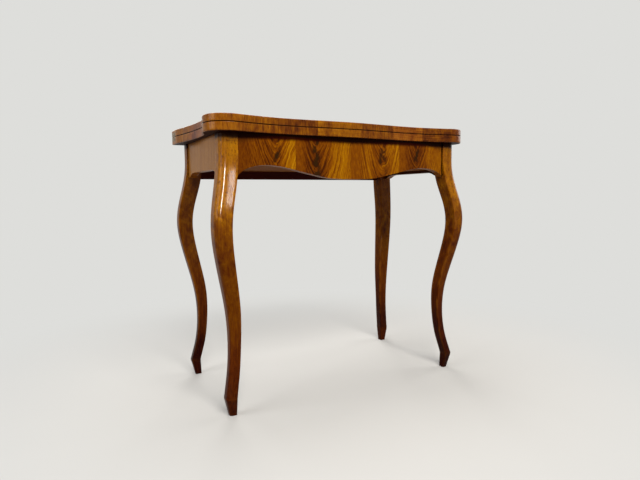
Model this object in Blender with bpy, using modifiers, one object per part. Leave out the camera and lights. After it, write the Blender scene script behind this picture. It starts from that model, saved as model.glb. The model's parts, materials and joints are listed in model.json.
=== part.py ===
"""A fold-over card table on four cabriole legs, closed, in metres with +Z up.

The origin is on the floor under the middle of the frame. +X runs along the table and +Y to its back.
The double top turns a quarter turn on a pivot, and its upper leaf folds over on two card-table hinges.
"""

import math

import bmesh
import bpy
from mathutils import Matrix, Vector

for old in list(bpy.data.objects):
    bpy.data.objects.remove(old, do_unlink=True)

# Overall sizes
table_height = 0.770
frame_length = 0.764
frame_depth = 0.386
touch_gap = 0.0003
overrun = 0.004

# Top: both leaves have the same outline, with lobes at the front corners
end_overhang = 0.0315
front_overhang = 0.025
back_overhang = 0.001
upper_leaf_thickness = 0.0187
lower_leaf_thickness = 0.0216
leaf_gap = 0.0008
leaf_arris = 0.0022
lobe_radius = 0.053
front_sweep = 0.021
side_sweep = 0.019
side_flat = 0.048
# Share of the half length, share of the front sweep
front_shares = ((0.80, 0.24), (0.70, 0.62), (0.56, 0.97), (0.42, 1.0), (0.22, 0.78), (0.0, 0.56))
# Share of the way from the back edge to the lobe, share of the side sweep
side_shares = ((0.30, 0.45), (0.60, 1.0), (0.80, 0.93))

# Playing cloth let into the inner faces
baize_thickness = 0.001
baize_border = 0.068
baize_front_border = 0.068
baize_back_border = 0.014
baize_corner = 0.040

# Legs
leg_head = 0.046
knee_reach = 0.025
foot_height = 0.047
corner_share = 0.44
leg_rings = 30
# Share of the leg height, share of the knee reach outwards, share of the head's width
sole_shares = (-0.38, 0.40)
foot_shares = (0.07, 0.62)
leg_shares = (
    (0.102, -0.18, 0.605),
    (0.141, -0.42, 0.600),
    (0.205, -0.67, 0.600),
    (0.283, -0.74, 0.640),
    (0.377, -0.51, 0.735),
    (0.472, 0.04, 0.820),
    (0.567, 0.64, 0.890),
    (0.662, 1.00, 0.940),
    (0.740, 0.83, 0.970),
    (0.818, 0.37, 1.0),
    (0.900, 0.03, 1.0),
    (0.950, 0.0, 1.0),
    (1.0, 0.0, 1.0),
)

# Aprons
apron_thickness = 0.022
apron_setback = 0.005
veneer_thickness = 0.0011
front_apron_width = 0.1146
scallop_depth = 0.035
side_apron_width = 0.1016
side_bracket = 0.013
back_apron_width = 0.1046
tenon_thickness = 0.008
tenon_height = 0.060
tenon_drop = 0.013
tenon_share = 0.4
# Share of the half length, share of the scallop depth
scallop_shares = (
    (0.0, 0.0),
    (0.12, 0.02),
    (0.23, 0.09),
    (0.36, 0.33),
    (0.455, 0.52),
    (0.55, 0.73),
    (0.64, 0.90),
    (0.715, 0.98),
    (0.78, 1.0),
    (0.84, 0.955),
    (0.90, 0.84),
    (0.955, 0.63),
    (1.0, 0.28),
)
# Share of the half length, share of the side bracket's height
bracket_shares = ((0.0, 1.0), (0.62, 1.0), (0.72, 0.93), (0.80, 0.70), (0.88, 0.30), (0.94, 0.08), (1.0, 0.0))
# Joints of the four veneer leaves, as shares of the half length
veneer_joint_shares = (-1.0, -0.522, -0.012, 0.498, 1.0)

# Card compartment and pivot rail
well_depth = 0.0706
board_thickness = 0.008
board_groove = 0.005
rail_width = 0.060
rail_thickness = 0.024
divider_thickness = 0.010
block_width = 0.016

# Pivot of the top
bolt_radius = 0.006
bolt_head_radius = 0.010
bolt_head_thickness = 0.003
bolt_tail = 0.003
running_gap = 0.0003
plate_width = 0.070
plate_thickness = 0.004
washer_radius = 0.014
washer_thickness = 0.0025
nut_radius = 0.010
nut_thickness = 0.008
plate_screw_inset = 0.010
stop_width = 0.020
stop_height = 0.014
stop_block_length = 0.036
stop_screw_offset = 0.005

# Card-table hinges, let into the ends of the leaves
pin_inset = 0.0031
pin_radius = 0.0010
pin_gap = 0.0002
pin_tail = 0.003
hinge_plate_length = 0.042
hinge_plate_width = 0.012
hinge_plate_thickness = 0.002
link_thickness = 0.002
hinge_screw_inset = 0.012

# Wood screws: head radius, head height, shank radius, length
plate_screw = (0.0040, 0.0024, 0.0020, 0.012)
stop_screw = (0.0035, 0.0021, 0.00175, 0.024)
hinge_screw = (0.0028, 0.0015, 0.0014, 0.011)
slot_width = 0.0008
slot_depth = 0.0008

# Heights that follow
frame_height = table_height - upper_leaf_thickness - leaf_gap - lower_leaf_thickness - touch_gap
lower_leaf_low = frame_height + touch_gap
lower_leaf_top = lower_leaf_low + lower_leaf_thickness
upper_leaf_low = lower_leaf_top + leaf_gap

# Places that follow
half_length = frame_length / 2
half_depth = frame_depth / 2
leaf_half = half_length + end_overhang
leaf_front = half_depth + front_overhang
leaf_back = half_depth + back_overhang
leg_inner_x = half_length - leg_head
leg_inner_y = half_depth - leg_head
front_face_y = -half_depth + apron_setback
front_core_y = front_face_y + veneer_thickness + touch_gap
front_inner_y = front_core_y + apron_thickness
back_face_y = half_depth - apron_setback
back_inner_y = back_face_y - apron_thickness
side_face_x = half_length - apron_setback
side_inner_x = side_face_x - apron_thickness
apron_half_x = leg_inner_x - touch_gap
apron_half_y = leg_inner_y - touch_gap
tenon_length = leg_head * tenon_share
tenon_top = frame_height - tenon_drop
scallop_low = frame_height - front_apron_width
side_apron_low = frame_height - side_apron_width
back_apron_low = frame_height - back_apron_width
pivot_x = leaf_back / 2
pivot_y = leaf_back / 2
rail_low = frame_height - rail_thickness
rail_left = pivot_x - rail_width / 2
board_top = frame_height - well_depth
board_low = board_top - board_thickness
pin_y = leaf_back - pin_inset
lower_pin_z = lower_leaf_top - pin_inset
upper_pin_z = upper_leaf_low + pin_inset

parts = bpy.data.collections.new("card_table")
cutters = bpy.data.collections.new("cutters")
cutters.hide_render = True
bpy.context.scene.collection.children.link(parts)
bpy.context.scene.collection.children.link(cutters)


# Materials
def material(name, colour, roughness, metallic=0.0):
    made = bpy.data.materials.new(name)
    made.use_nodes = True
    shader = made.node_tree.nodes["Principled BSDF"]
    shader.inputs["Base Color"].default_value = (*colour, 1.0)
    shader.inputs["Roughness"].default_value = roughness
    shader.inputs["Metallic"].default_value = metallic
    made.diffuse_color = (*colour, 1.0)
    return made


walnut_leg = material("walnut_leg", (0.32, 0.14, 0.03), 0.25)
walnut_edge = material("walnut_edge", (0.27, 0.10, 0.03), 0.25)
walnut_figured = material("walnut_figured", (0.40, 0.19, 0.03), 0.22)
walnut_side = material("walnut_side", (0.28, 0.13, 0.05), 0.3)
stained_rail = material("stained_rail", (0.10, 0.02, 0.01), 0.5)
raw_softwood = material("raw_softwood", (0.34, 0.20, 0.09), 0.8)
raw_hardwood = material("raw_hardwood", (0.28, 0.16, 0.07), 0.7)
green_baize = material("green_baize", (0.03, 0.13, 0.06), 0.95)
old_brass = material("old_brass", (0.42, 0.30, 0.12), 0.35, 1.0)
dark_iron = material("dark_iron", (0.09, 0.085, 0.08), 0.5, 1.0)


flat_angle = math.radians(0.1)


# Shapes
def add(name, mesh, finish=None, at=(0, 0, 0), turn=None):
    """An object of the table, or a cutter if it has no finish."""
    made = bpy.data.objects.new(name, mesh)
    made.location = at
    if turn is not None:
        made.rotation_euler = turn.to_euler()
    if finish is None:
        made.hide_render = True
        made.display_type = "WIRE"
        cutters.objects.link(made)
    else:
        mesh.materials.append(finish)
        parts.objects.link(made)
    return made


def box(name, low, high, finish=None):
    """A box between two corners."""
    size = [top - bottom for bottom, top in zip(low, high)]
    middle = [(top + bottom) / 2 for bottom, top in zip(low, high)]
    shape = bmesh.new()
    bmesh.ops.create_cube(shape, size=1.0)
    bmesh.ops.scale(shape, vec=size, verts=shape.verts)
    mesh = bpy.data.meshes.new(name)
    shape.to_mesh(mesh)
    shape.free()
    return add(name, mesh, finish, middle)


def cylinder(name, radius, length, at, turn=None, finish=None, sides=24):
    """A cylinder whose middle is at the given place, along Z unless it is turned."""
    shape = bmesh.new()
    bmesh.ops.create_cone(
        shape, cap_ends=True, segments=sides, radius1=radius, radius2=radius, depth=length
    )
    mesh = bpy.data.meshes.new(name)
    shape.to_mesh(mesh)
    shape.free()
    made = add(name, mesh, finish, at, turn)
    mesh.shade_smooth()
    mesh.set_sharp_from_angle(angle=math.radians(40))
    return made


def turned(name, profile, at, turn=None, finish=None, sides=16):
    """A profile of (radius, height) points, from the top down, turned about Z."""
    mesh = bpy.data.meshes.new(name)
    edges = [(i, i + 1) for i in range(len(profile) - 1)]
    mesh.from_pydata([(radius, 0.0, height) for radius, height in profile], edges, [])
    made = add(name, mesh, finish, at, turn)
    screw = made.modifiers.new("turn", "SCREW")
    screw.steps = sides
    screw.render_steps = sides
    screw.use_merge_vertices = True
    screw.merge_threshold = 0.00001
    return made


def solid_from_curve(name, curve, finish, at=(0, 0, 0), turn=None):
    """The evaluated mesh of a curve, with its caps welded on and each made one flat face."""
    guide = bpy.data.objects.new(name + "_guide", curve)
    bpy.context.scene.collection.objects.link(guide)
    graph = bpy.context.evaluated_depsgraph_get()
    mesh = bpy.data.meshes.new_from_object(guide.evaluated_get(graph))
    bpy.data.objects.remove(guide, do_unlink=True)
    mesh.materials.clear()
    shape = bmesh.new()
    shape.from_mesh(mesh)
    bmesh.ops.remove_doubles(shape, verts=shape.verts, dist=0.00001)
    bmesh.ops.dissolve_limit(shape, angle_limit=flat_angle, verts=shape.verts, edges=shape.edges)
    bmesh.ops.recalc_face_normals(shape, faces=shape.faces)
    shape.to_mesh(mesh)
    shape.free()
    mesh.name = name
    return add(name, mesh, finish, at, turn)


def flat_curve(name, thickness, arris=0.0):
    """An empty 2-D curve that fills and extrudes to a thickness, with rounded arrises."""
    curve = bpy.data.curves.new(name, "CURVE")
    curve.dimensions = "2D"
    curve.fill_mode = "BOTH"
    curve.extrude = thickness / 2 - arris
    if arris:
        curve.bevel_depth = arris
        curve.bevel_resolution = 1
        curve.offset = -arris
    return curve


def plate(name, points, thickness, finish, at=(0, 0, 0), turn=None):
    """A flat piece with straight edges between the outline's (x, y) points, centred on its thickness."""
    curve = flat_curve(name, thickness)
    spline = curve.splines.new("POLY")
    spline.points.add(len(points) - 1)
    for point, (x, y) in zip(spline.points, points):
        point.co = (x, y, 0.0, 1.0)
    spline.use_cyclic_u = True
    return solid_from_curve(name, curve, finish, at, turn)


def arc(centre_x, centre_y, radius, start, end, steps):
    """Points on an arc between two angles in degrees."""
    angles = [math.radians(start + (end - start) * i / steps) for i in range(steps + 1)]
    return [(centre_x + radius * math.cos(a), centre_y + radius * math.sin(a)) for a in angles]


def smooth_at(stations, place):
    """The value at a place on a smooth curve through (place, value) stations in rising order.

    Each stretch is a cubic whose end slopes are those of the chords across its two stations.
    """
    last = len(stations) - 1
    i = max(n for n in range(last) if n == 0 or stations[n][0] <= place)
    ends = []
    for n in (i, i + 1):
        before, after = stations[max(n - 1, 0)], stations[min(n + 1, last)]
        ends.append((after[1] - before[1]) / (after[0] - before[0]))
    (start, low), (end, high) = stations[i], stations[i + 1]
    width = end - start
    t = (place - start) / width
    value = (2 * t**3 - 3 * t**2 + 1) * low + (3 * t**2 - 2 * t**3) * high
    return value + width * ((t**3 - 2 * t**2 + t) * ends[0] + (t**3 - t**2) * ends[1])


def boolean(target, tool, operation):
    step = target.modifiers.new(tool.name, "BOOLEAN")
    step.operation = operation
    step.object = tool


def cut(tool, *targets):
    for target in targets:
        boolean(target, tool, "DIFFERENCE")


def join(target, tool):
    boolean(target, tool, "UNION")


# Turns that lay a flat outline or a turned profile in its place
upright = Matrix.Rotation(math.pi / 2, 3, "X")
across = Matrix.Rotation(math.pi / 2, 3, "Z") @ upright
upside_down = Matrix.Rotation(math.pi, 3, "X")


# Legs
def leg_section(height_share):
    """(outward offset, width) of a leg's square section, at a share of its height above the foot."""
    outward = [(share, out) for share, out, _ in leg_stations]
    widths = [(share, width) for share, _, width in leg_stations]
    return smooth_at(outward, height_share) * knee_reach, smooth_at(widths, height_share) * leg_head


def leg_ring(side_x, side_y, outward, width, height):
    """One level section: a square with its outer corner rounded."""
    corner_x = half_length + outward
    corner_y = half_depth + outward
    radius = corner_share * width
    points = [(corner_x, corner_y - width)]
    points += arc(corner_x - radius, corner_y - radius, radius, 0, 90, 5)
    points += [(corner_x - width, corner_y), (corner_x - width, corner_y - width)]
    return [(side_x * x, side_y * y, height) for x, y in points]


def loft(name, rings, finish):
    """Quads between neighbouring rings of as many points each, and a cap at each end."""
    shape = bmesh.new()
    rows = [[shape.verts.new(point) for point in ring] for ring in rings]
    count = len(rows[0])
    for below, above in zip(rows, rows[1:]):
        for i in range(count):
            j = (i + 1) % count
            shape.faces.new((below[i], below[j], above[j], above[i]))
    shape.faces.new(reversed(rows[0]))
    shape.faces.new(rows[-1])
    bmesh.ops.recalc_face_normals(shape, faces=shape.faces)
    mesh = bpy.data.meshes.new(name)
    shape.to_mesh(mesh)
    shape.free()
    return add(name, mesh, finish)


foot_share = foot_height / frame_height
leg_stations = ((foot_share, *foot_shares), *leg_shares)


def leg(name, side_x, side_y):
    rings = [leg_ring(side_x, side_y, sole_shares[0] * knee_reach, sole_shares[1] * leg_head, 0.0)]
    for i in range(leg_rings + 1):
        share = foot_share + (1.0 - foot_share) * i / leg_rings
        rings.append(leg_ring(side_x, side_y, *leg_section(share), share * frame_height))
    return loft(name, rings, walnut_leg)


# Aprons and their tenons
front_tenon_y = front_core_y + apron_thickness / 2
back_tenon_y = back_inner_y + apron_thickness / 2
side_tenon_x = side_inner_x + apron_thickness / 2
tenon_low = tenon_top - tenon_height


def tenon_boxes(apron, legs, along_x, centre, side, reach):
    """A tenon on one end of an apron, and the mortise for it in the leg it enters."""
    inner = leg_inner_x if along_x else leg_inner_y
    for name, grow, target in (("tenon", 0.0, apron), ("mortise", touch_gap, legs)):
        across_low = centre - tenon_thickness / 2 - grow
        across_high = centre + tenon_thickness / 2 + grow
        root = inner - (overrun if name == "tenon" else overrun + touch_gap)
        along = sorted((side * root, side * (inner + reach + grow)))
        low = (along[0], across_low) if along_x else (across_low, along[0])
        high = (along[1], across_high) if along_x else (across_high, along[1])
        tool = box(
            f"{name}_{apron.name}_{target.name}",
            (*low, tenon_low - grow),
            (*high, tenon_top + grow),
        )
        if name == "tenon":
            join(target, tool)
        else:
            cut(tool, target)


def scallop_points(start, end, count):
    """The front apron's lower edge, from one share of its half length to another."""
    points = []
    for i in range(count + 1):
        share = start + (end - start) * i / count
        rise = smooth_at(scallop_shares, abs(share)) * scallop_depth
        points.append((share * apron_half_x, scallop_low + rise))
    return points


def front_outline(start, end, count, gap_right=0.0):
    """Outline of the front apron between two shares of its half length."""
    lower = scallop_points(start, end, count)
    if gap_right:
        lower[-1] = (lower[-1][0] - gap_right, lower[-1][1])
    return lower + [(lower[-1][0], frame_height), (lower[0][0], frame_height)]


legs = {}
for depth_name, side_y in (("front", -1), ("back", 1)):
    for side_name, side_x in (("left", -1), ("right", 1)):
        legs[side_x, side_y] = leg(f"leg_{depth_name}_{side_name}", side_x, side_y)

apron_front = plate(
    "apron_front",
    front_outline(-1.0, 1.0, 44),
    apron_thickness,
    raw_softwood,
    (0, front_tenon_y, 0),
    upright,
)
veneers = []
for number, (start, end) in enumerate(zip(veneer_joint_shares, veneer_joint_shares[1:]), 1):
    veneers.append(
        plate(
            f"front_veneer_{number}",
            front_outline(start, end, 14, 0.0 if end == 1.0 else touch_gap),
            veneer_thickness,
            walnut_figured,
            (0, front_face_y + veneer_thickness / 2, 0),
            upright,
        )
    )

apron_back = box(
    "apron_back",
    (-apron_half_x, back_inner_y, back_apron_low),
    (apron_half_x, back_face_y, frame_height),
    stained_rail,
)


def side_apron(name, side):
    """A side apron with a straight lower edge and a small bracket at each leg."""
    lower = []
    for i in range(-20, 21):
        share = i / 20
        rise = smooth_at(bracket_shares, abs(share)) * side_bracket
        lower.append((share * apron_half_y, side_apron_low + rise))
    outline = lower + [(apron_half_y, frame_height), (-apron_half_y, frame_height)]
    return plate(name, outline, apron_thickness, walnut_side, (side * side_tenon_x, 0, 0), across)


apron_left = side_apron("apron_left", -1)
apron_right = side_apron("apron_right", 1)
side_aprons = {-1: apron_left, 1: apron_right}

for side_x in (-1, 1):
    tenon_boxes(apron_front, legs[side_x, -1], True, front_tenon_y, side_x, tenon_length)
    tenon_boxes(apron_back, legs[side_x, 1], True, back_tenon_y, side_x, tenon_length)
    for side_y in (-1, 1):
        tenon_boxes(
            side_aprons[side_x],
            legs[side_x, side_y],
            False,
            side_x * side_tenon_x,
            side_y,
            tenon_length,
        )

# Card compartment: a bottom board in grooves, notched round the legs, and a divider
well_bottom = box(
    "well_bottom",
    (-side_inner_x - board_groove + touch_gap, front_inner_y + touch_gap, board_low),
    (side_inner_x + board_groove - touch_gap, back_inner_y + board_groove - touch_gap, board_top),
    raw_softwood,
)
board_groove_cutter = box(
    "board_groove",
    (-side_inner_x - board_groove, -leg_inner_y - overrun, board_low - touch_gap),
    (side_inner_x + board_groove, back_inner_y + board_groove, board_top + touch_gap),
)
cut(board_groove_cutter, apron_left, apron_right, apron_back)
for side_x in (-1, 1):
    for side_y in (-1, 1):
        xs = sorted((side_x * (leg_inner_x - touch_gap), side_x * (half_length + overrun)))
        ys = sorted((side_y * (leg_inner_y - touch_gap), side_y * (half_depth + overrun)))
        notch = box(
            f"board_notch_{side_x}_{side_y}",
            (xs[0], ys[0], board_low - overrun),
            (xs[1], ys[1], board_top + overrun),
        )
        cut(notch, well_bottom)

pivot_rail = box(
    "pivot_rail",
    (rail_left, front_inner_y + touch_gap, rail_low),
    (rail_left + rail_width, back_inner_y - touch_gap, frame_height),
    raw_hardwood,
)
well_divider = box(
    "well_divider",
    (rail_left, front_inner_y + touch_gap, board_top + touch_gap),
    (rail_left + divider_thickness, back_inner_y - touch_gap, rail_low - touch_gap),
    raw_softwood,
)

# Glue blocks in the angles between the long aprons and the legs
block_top = frame_height - tenon_drop
for depth_name, side_y, face_y in (("front", -1, front_inner_y), ("back", 1, back_inner_y)):
    for side_name, side_x in (("left", -1), ("right", 1)):
        xs = sorted((side_x * (leg_inner_x - touch_gap - block_width), side_x * (leg_inner_x - touch_gap)))
        inner = face_y - side_y * (touch_gap + block_width)
        ys = sorted((inner, face_y - side_y * touch_gap))
        box(
            f"corner_block_{depth_name}_{side_name}",
            (xs[0], ys[0], board_top + touch_gap),
            (xs[1], ys[1], block_top),
            raw_softwood,
        )

# The turning stop meets the back apron when the top is closed, and the stop block after a quarter turn
stop_y = back_inner_y - touch_gap - stop_width / 2
stop_arm = stop_y - pivot_y
stop_x = pivot_x - stop_arm
turned_stop_y = pivot_y - stop_arm
stop_block = box(
    "stop_block",
    (
        rail_left - touch_gap - stop_block_length,
        turned_stop_y - stop_width / 2 - touch_gap - stop_width,
        rail_low,
    ),
    (
        rail_left - touch_gap,
        turned_stop_y - stop_width / 2 - touch_gap,
        frame_height - touch_gap,
    ),
    raw_hardwood,
)


# Leaves
def leaf_outline(spline):
    """The leaves' outline: square back corners, swept sides, round front lobes and a serpentine front."""
    lobe_y = -leaf_front + lobe_radius
    half = [(leaf_half, leaf_back, "VECTOR"), (leaf_half, leaf_back - side_flat, "ALIGNED")]
    for way, sweep in side_shares:
        half.append((leaf_half - sweep * side_sweep, leaf_back + (lobe_y - leaf_back) * way, "AUTO"))
    for x, y in arc(leaf_half - lobe_radius, lobe_y, lobe_radius, 0, -90, 2):
        half.append((x, y, "AUTO"))
    for share, sweep in front_shares:
        half.append((share * leaf_half, -leaf_front + sweep * front_sweep, "AUTO"))
    mirrored = [(-x, y, kind) for x, y, kind in reversed(half[:-1])]
    stations = half + mirrored
    spline.bezier_points.add(len(stations) - 1)
    for point, (x, y, kind) in zip(spline.bezier_points, stations):
        point.co = (x, y, 0.0)
        handle = "AUTO" if kind == "ALIGNED" else kind
        point.handle_left_type = handle
        point.handle_right_type = handle
    for point, (x, y, kind) in zip(spline.bezier_points, stations):
        if kind == "ALIGNED":
            point.handle_left_type = "FREE"
            point.handle_right_type = "FREE"
            reach = Vector((0.0, side_flat / 3, 0.0)) * (1 if x > 0 else -1)
            point.handle_left = point.co + reach
            point.handle_right = point.co - reach
    spline.use_cyclic_u = True


def leaf(name, low, thickness):
    curve = flat_curve(name, thickness, leaf_arris)
    curve.resolution_u = 4
    leaf_outline(curve.splines.new("BEZIER"))
    return solid_from_curve(name, curve, walnut_edge, (0, 0, low + thickness / 2))


lower_leaf = leaf("lower_leaf", lower_leaf_low, lower_leaf_thickness)
upper_leaf = leaf("upper_leaf", upper_leaf_low, upper_leaf_thickness)


def baize_outline(grow):
    """The playing cloth: square at the hinge edge, rounded at the two outer corners."""
    half = leaf_half - baize_border + grow
    front = -leaf_front + baize_front_border - grow
    back = leaf_back - baize_back_border + grow
    radius = baize_corner + grow
    points = [(half, back), (-half, back)]
    points += arc(-half + radius, front + radius, radius, 180, 270, 6)
    points += arc(half - radius, front + radius, radius, 270, 360, 6)
    return points


def baize(name, target, face, outward):
    """Cloth flush with a leaf's face, and the shallow recess that it is glued into."""
    middle = face - outward * baize_thickness / 2
    cloth = plate(name, baize_outline(0.0), baize_thickness, green_baize, (0, 0, middle))
    depth = baize_thickness + touch_gap
    centre = face - outward * (depth - overrun) / 2
    cut(plate(name + "_recess", baize_outline(touch_gap), depth + overrun, None, (0, 0, centre)), target)
    return cloth


baize_lower = baize("baize_lower", lower_leaf, lower_leaf_top, 1)
baize_upper = baize("baize_upper", upper_leaf, upper_leaf_low, -1)


# Screws
def screw(name, sizes, at, turn, finish, *targets):
    """A slotted countersunk wood screw, head at the given place, and its hole in each target."""
    head, head_height, shank, length = sizes
    made = turned(
        name,
        ((0.0, 0.0), (head, 0.0), (shank, -head_height), (shank, shank - length), (0.0, -length)),
        at,
        turn,
        finish,
    )
    half_slot = slot_width / 2
    slot = box(
        f"{name}_slot",
        (-head - overrun, -half_slot, -slot_depth),
        (head + overrun, half_slot, overrun),
    )
    slot.data.transform(Matrix.Translation(slot.location))
    slot.location = at
    if turn is not None:
        slot.rotation_euler = turn.to_euler()
    cut(slot, made)
    hole = turned(
        f"{name}_hole",
        (
            (0.0, overrun),
            (head + touch_gap, overrun),
            (head + touch_gap, -touch_gap),
            (shank + touch_gap, -head_height - touch_gap),
            (shank + touch_gap, -length - touch_gap),
            (0.0, -length - touch_gap),
        ),
        at,
        turn,
    )
    cut(hole, *targets)
    return made


# Pivot: a plate under the lower leaf, its bolt through the rail, a washer and a nut
bolt_head_low = lower_leaf_low + plate_thickness + touch_gap
bolt_head_top = bolt_head_low + bolt_head_thickness
washer_top = rail_low - touch_gap
nut_top = washer_top - washer_thickness - touch_gap
nut_low = nut_top - nut_thickness
bolt_low = nut_low - bolt_tail
half_plate = plate_width / 2

pivot_plate = box(
    "pivot_plate",
    (pivot_x - half_plate, pivot_y - half_plate, lower_leaf_low),
    (pivot_x + half_plate, pivot_y + half_plate, lower_leaf_low + plate_thickness),
    dark_iron,
)
plate_pocket = box(
    "plate_pocket",
    (
        pivot_x - half_plate - touch_gap,
        pivot_y - half_plate - touch_gap,
        lower_leaf_low - overrun,
    ),
    (
        pivot_x + half_plate + touch_gap,
        pivot_y + half_plate + touch_gap,
        lower_leaf_low + plate_thickness + touch_gap,
    ),
)
head_pocket_height = bolt_head_thickness + touch_gap + overrun
head_pocket = cylinder(
    "head_pocket",
    bolt_head_radius + touch_gap,
    head_pocket_height,
    (pivot_x, pivot_y, bolt_head_top + touch_gap - head_pocket_height / 2),
)
cut(plate_pocket, lower_leaf)
cut(head_pocket, lower_leaf)
pivot_bolt = turned(
    "pivot_bolt",
    (
        (0.0, bolt_head_top - bolt_low),
        (bolt_head_radius, bolt_head_top - bolt_low),
        (bolt_head_radius, bolt_head_low - bolt_low),
        (bolt_radius, bolt_head_low - bolt_low),
        (bolt_radius, 0.0),
        (0.0, 0.0),
    ),
    (pivot_x, pivot_y, bolt_low),
    None,
    dark_iron,
    24,
)
bolt_bore = cylinder(
    "bolt_bore",
    bolt_radius + running_gap,
    bolt_head_low - bolt_low + overrun,
    (pivot_x, pivot_y, (bolt_head_low + bolt_low) / 2),
)
pivot_washer = cylinder(
    "pivot_washer",
    washer_radius,
    washer_thickness,
    (pivot_x, pivot_y, washer_top - washer_thickness / 2),
    None,
    dark_iron,
)
pivot_nut = cylinder(
    "pivot_nut",
    nut_radius,
    nut_thickness,
    (pivot_x, pivot_y, (nut_top + nut_low) / 2),
    None,
    dark_iron,
    6,
)
cut(bolt_bore, pivot_plate, pivot_rail, pivot_washer, pivot_nut)

plate_screws = []
for number, (side_x, side_y) in enumerate(((-1, -1), (1, -1), (1, 1), (-1, 1)), 1):
    reach = half_plate - plate_screw_inset
    plate_screws.append(
        screw(
            f"plate_screw_{number}",
            plate_screw,
            (pivot_x + side_x * reach, pivot_y + side_y * reach, lower_leaf_low),
            upside_down,
            dark_iron,
            pivot_plate,
            lower_leaf,
        )
    )

turning_stop = box(
    "turning_stop",
    (
        stop_x - stop_width / 2,
        stop_y - stop_width / 2,
        lower_leaf_low - touch_gap - stop_height,
    ),
    (stop_x + stop_width / 2, stop_y + stop_width / 2, lower_leaf_low - touch_gap),
    raw_hardwood,
)
stop_screws = []
for number, side in enumerate((-1, 1), 1):
    stop_screws.append(
        screw(
            f"turning_stop_screw_{number}",
            stop_screw,
            (
                stop_x + side * stop_screw_offset,
                stop_y + side * stop_screw_offset,
                lower_leaf_low - touch_gap - stop_height,
            ),
            upside_down,
            dark_iron,
            turning_stop,
            lower_leaf,
        )
    )


# Hinges: a plate in the end of each leaf, and a link on two pins in a pocket behind the plates
def hinge_plate_outline(grow, square_corner):
    """Plate seen from its end of the table, x to the back and y from the leaf's inner face outwards."""
    front = -hinge_plate_length - grow
    deep = -hinge_plate_width - grow
    eye = pin_inset
    if square_corner:
        return [(front, deep), (overrun, deep), (overrun, overrun), (front, overrun)]
    corner = arc(-eye, -eye, eye, 0, 90, 4)
    return [(front, deep), (0.0, deep), *corner, (front, 0.0)]


def hinge(side_name, side, leaf_name, target, face, outward, pin_z):
    """One plate with its two screws and its pin. Outward is +1 where the leaf's inner face looks up."""
    turn = across if outward > 0 else Matrix.Diagonal((1, 1, -1)) @ across
    end_x = side * leaf_half
    plate_x = end_x - side * hinge_plate_thickness / 2

    def place(outline, thickness, middle_x, name, finish):
        shape = [(x, outward * y) for x, y in outline]
        return plate(name, shape, thickness, finish, (middle_x, leaf_back, face), across)

    name = f"hinge_plate_{leaf_name}_{side_name}"
    made = place(hinge_plate_outline(0.0, False), hinge_plate_thickness, plate_x, name, old_brass)
    pocket_depth = hinge_plate_thickness + touch_gap + overrun
    pocket_x = end_x + side * (overrun - pocket_depth / 2)
    pocket = place(hinge_plate_outline(touch_gap, True), pocket_depth, pocket_x, name + "_pocket", None)
    cut(pocket, target)
    pieces = [made]
    toward_end = Matrix.Rotation(side * math.pi / 2, 3, "Y")
    screw_z = face - outward * hinge_plate_width / 2
    for number in (1, 2):
        screw_y = leaf_back - hinge_plate_length + (2 * number - 1) * hinge_screw_inset - hinge_screw_inset / 2
        pieces.append(
            screw(
                f"hinge_screw_{leaf_name}_{side_name}_{number}",
                hinge_screw,
                (end_x, screw_y, screw_z),
                toward_end,
                old_brass,
                made,
                target,
            )
        )
    pin_length = hinge_plate_thickness + link_thickness + touch_gap + pin_tail
    pin_middle = (end_x - side * (touch_gap + pin_length / 2), pin_y, pin_z)
    pin_name = f"hinge_pin_{leaf_name}_{side_name}"
    pieces.append(cylinder(pin_name, pin_radius, pin_length, pin_middle, toward_end, old_brass, 12))
    hole_length = pin_length + 2 * touch_gap + overrun
    hole_x = end_x + side * (overrun - hole_length / 2)
    hole_radius = pin_radius + pin_gap
    hole = cylinder(pin_name + "_hole", hole_radius, hole_length, (hole_x, pin_y, pin_z), toward_end, None, 12)
    cut(hole, made, target)
    return pieces, hole


link_radius = pin_inset - touch_gap
link_length = upper_pin_z - lower_pin_z
lower_hinge_pieces = []
upper_hinge_pieces = []
links = []
for side_name, side in (("left", -1), ("right", 1)):
    pieces, lower_hole = hinge(side_name, side, "lower", lower_leaf, lower_leaf_top, 1, lower_pin_z)
    lower_hinge_pieces += pieces
    pieces, upper_hole = hinge(side_name, side, "upper", upper_leaf, upper_leaf_low, -1, upper_pin_z)
    upper_hinge_pieces += pieces
    link_x = side * (leaf_half - hinge_plate_thickness - touch_gap - link_thickness / 2)
    outline = arc(0.0, 0.0, link_radius, 180, 360, 8) + arc(0.0, link_length, link_radius, 0, 180, 8)
    link = plate(
        f"hinge_link_{side_name}",
        outline,
        link_thickness,
        old_brass,
        (link_x, pin_y, lower_pin_z),
        across,
    )
    cut(lower_hole, link)
    cut(upper_hole, link)
    links.append(link)
    notch_reach = pin_inset + link_radius + touch_gap
    notch_inner = leaf_half - hinge_plate_thickness - link_thickness - 2 * touch_gap
    xs = sorted((side * notch_inner, side * (leaf_half - hinge_plate_thickness)))
    notch = box(
        f"link_notch_{side_name}",
        (xs[0], leaf_back - notch_reach, lower_leaf_top - notch_reach),
        (xs[1], leaf_back + overrun, upper_leaf_low + notch_reach),
    )
    cut(notch, lower_leaf, upper_leaf)


# Moving pieces hang on empties that lie on their joints' axes
def axis(name, at, parent=None):
    made = bpy.data.objects.new(name, None)
    made.empty_display_size = pin_inset
    parts.objects.link(made)
    made.location = at
    if parent is not None:
        made.parent = parent
        made.location = Vector(at) - parent.matrix_world.translation
    bpy.context.view_layer.update()
    return made


def hang(parent, pieces):
    for piece in pieces:
        piece.parent = parent
        piece.matrix_parent_inverse = parent.matrix_world.inverted()


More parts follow.
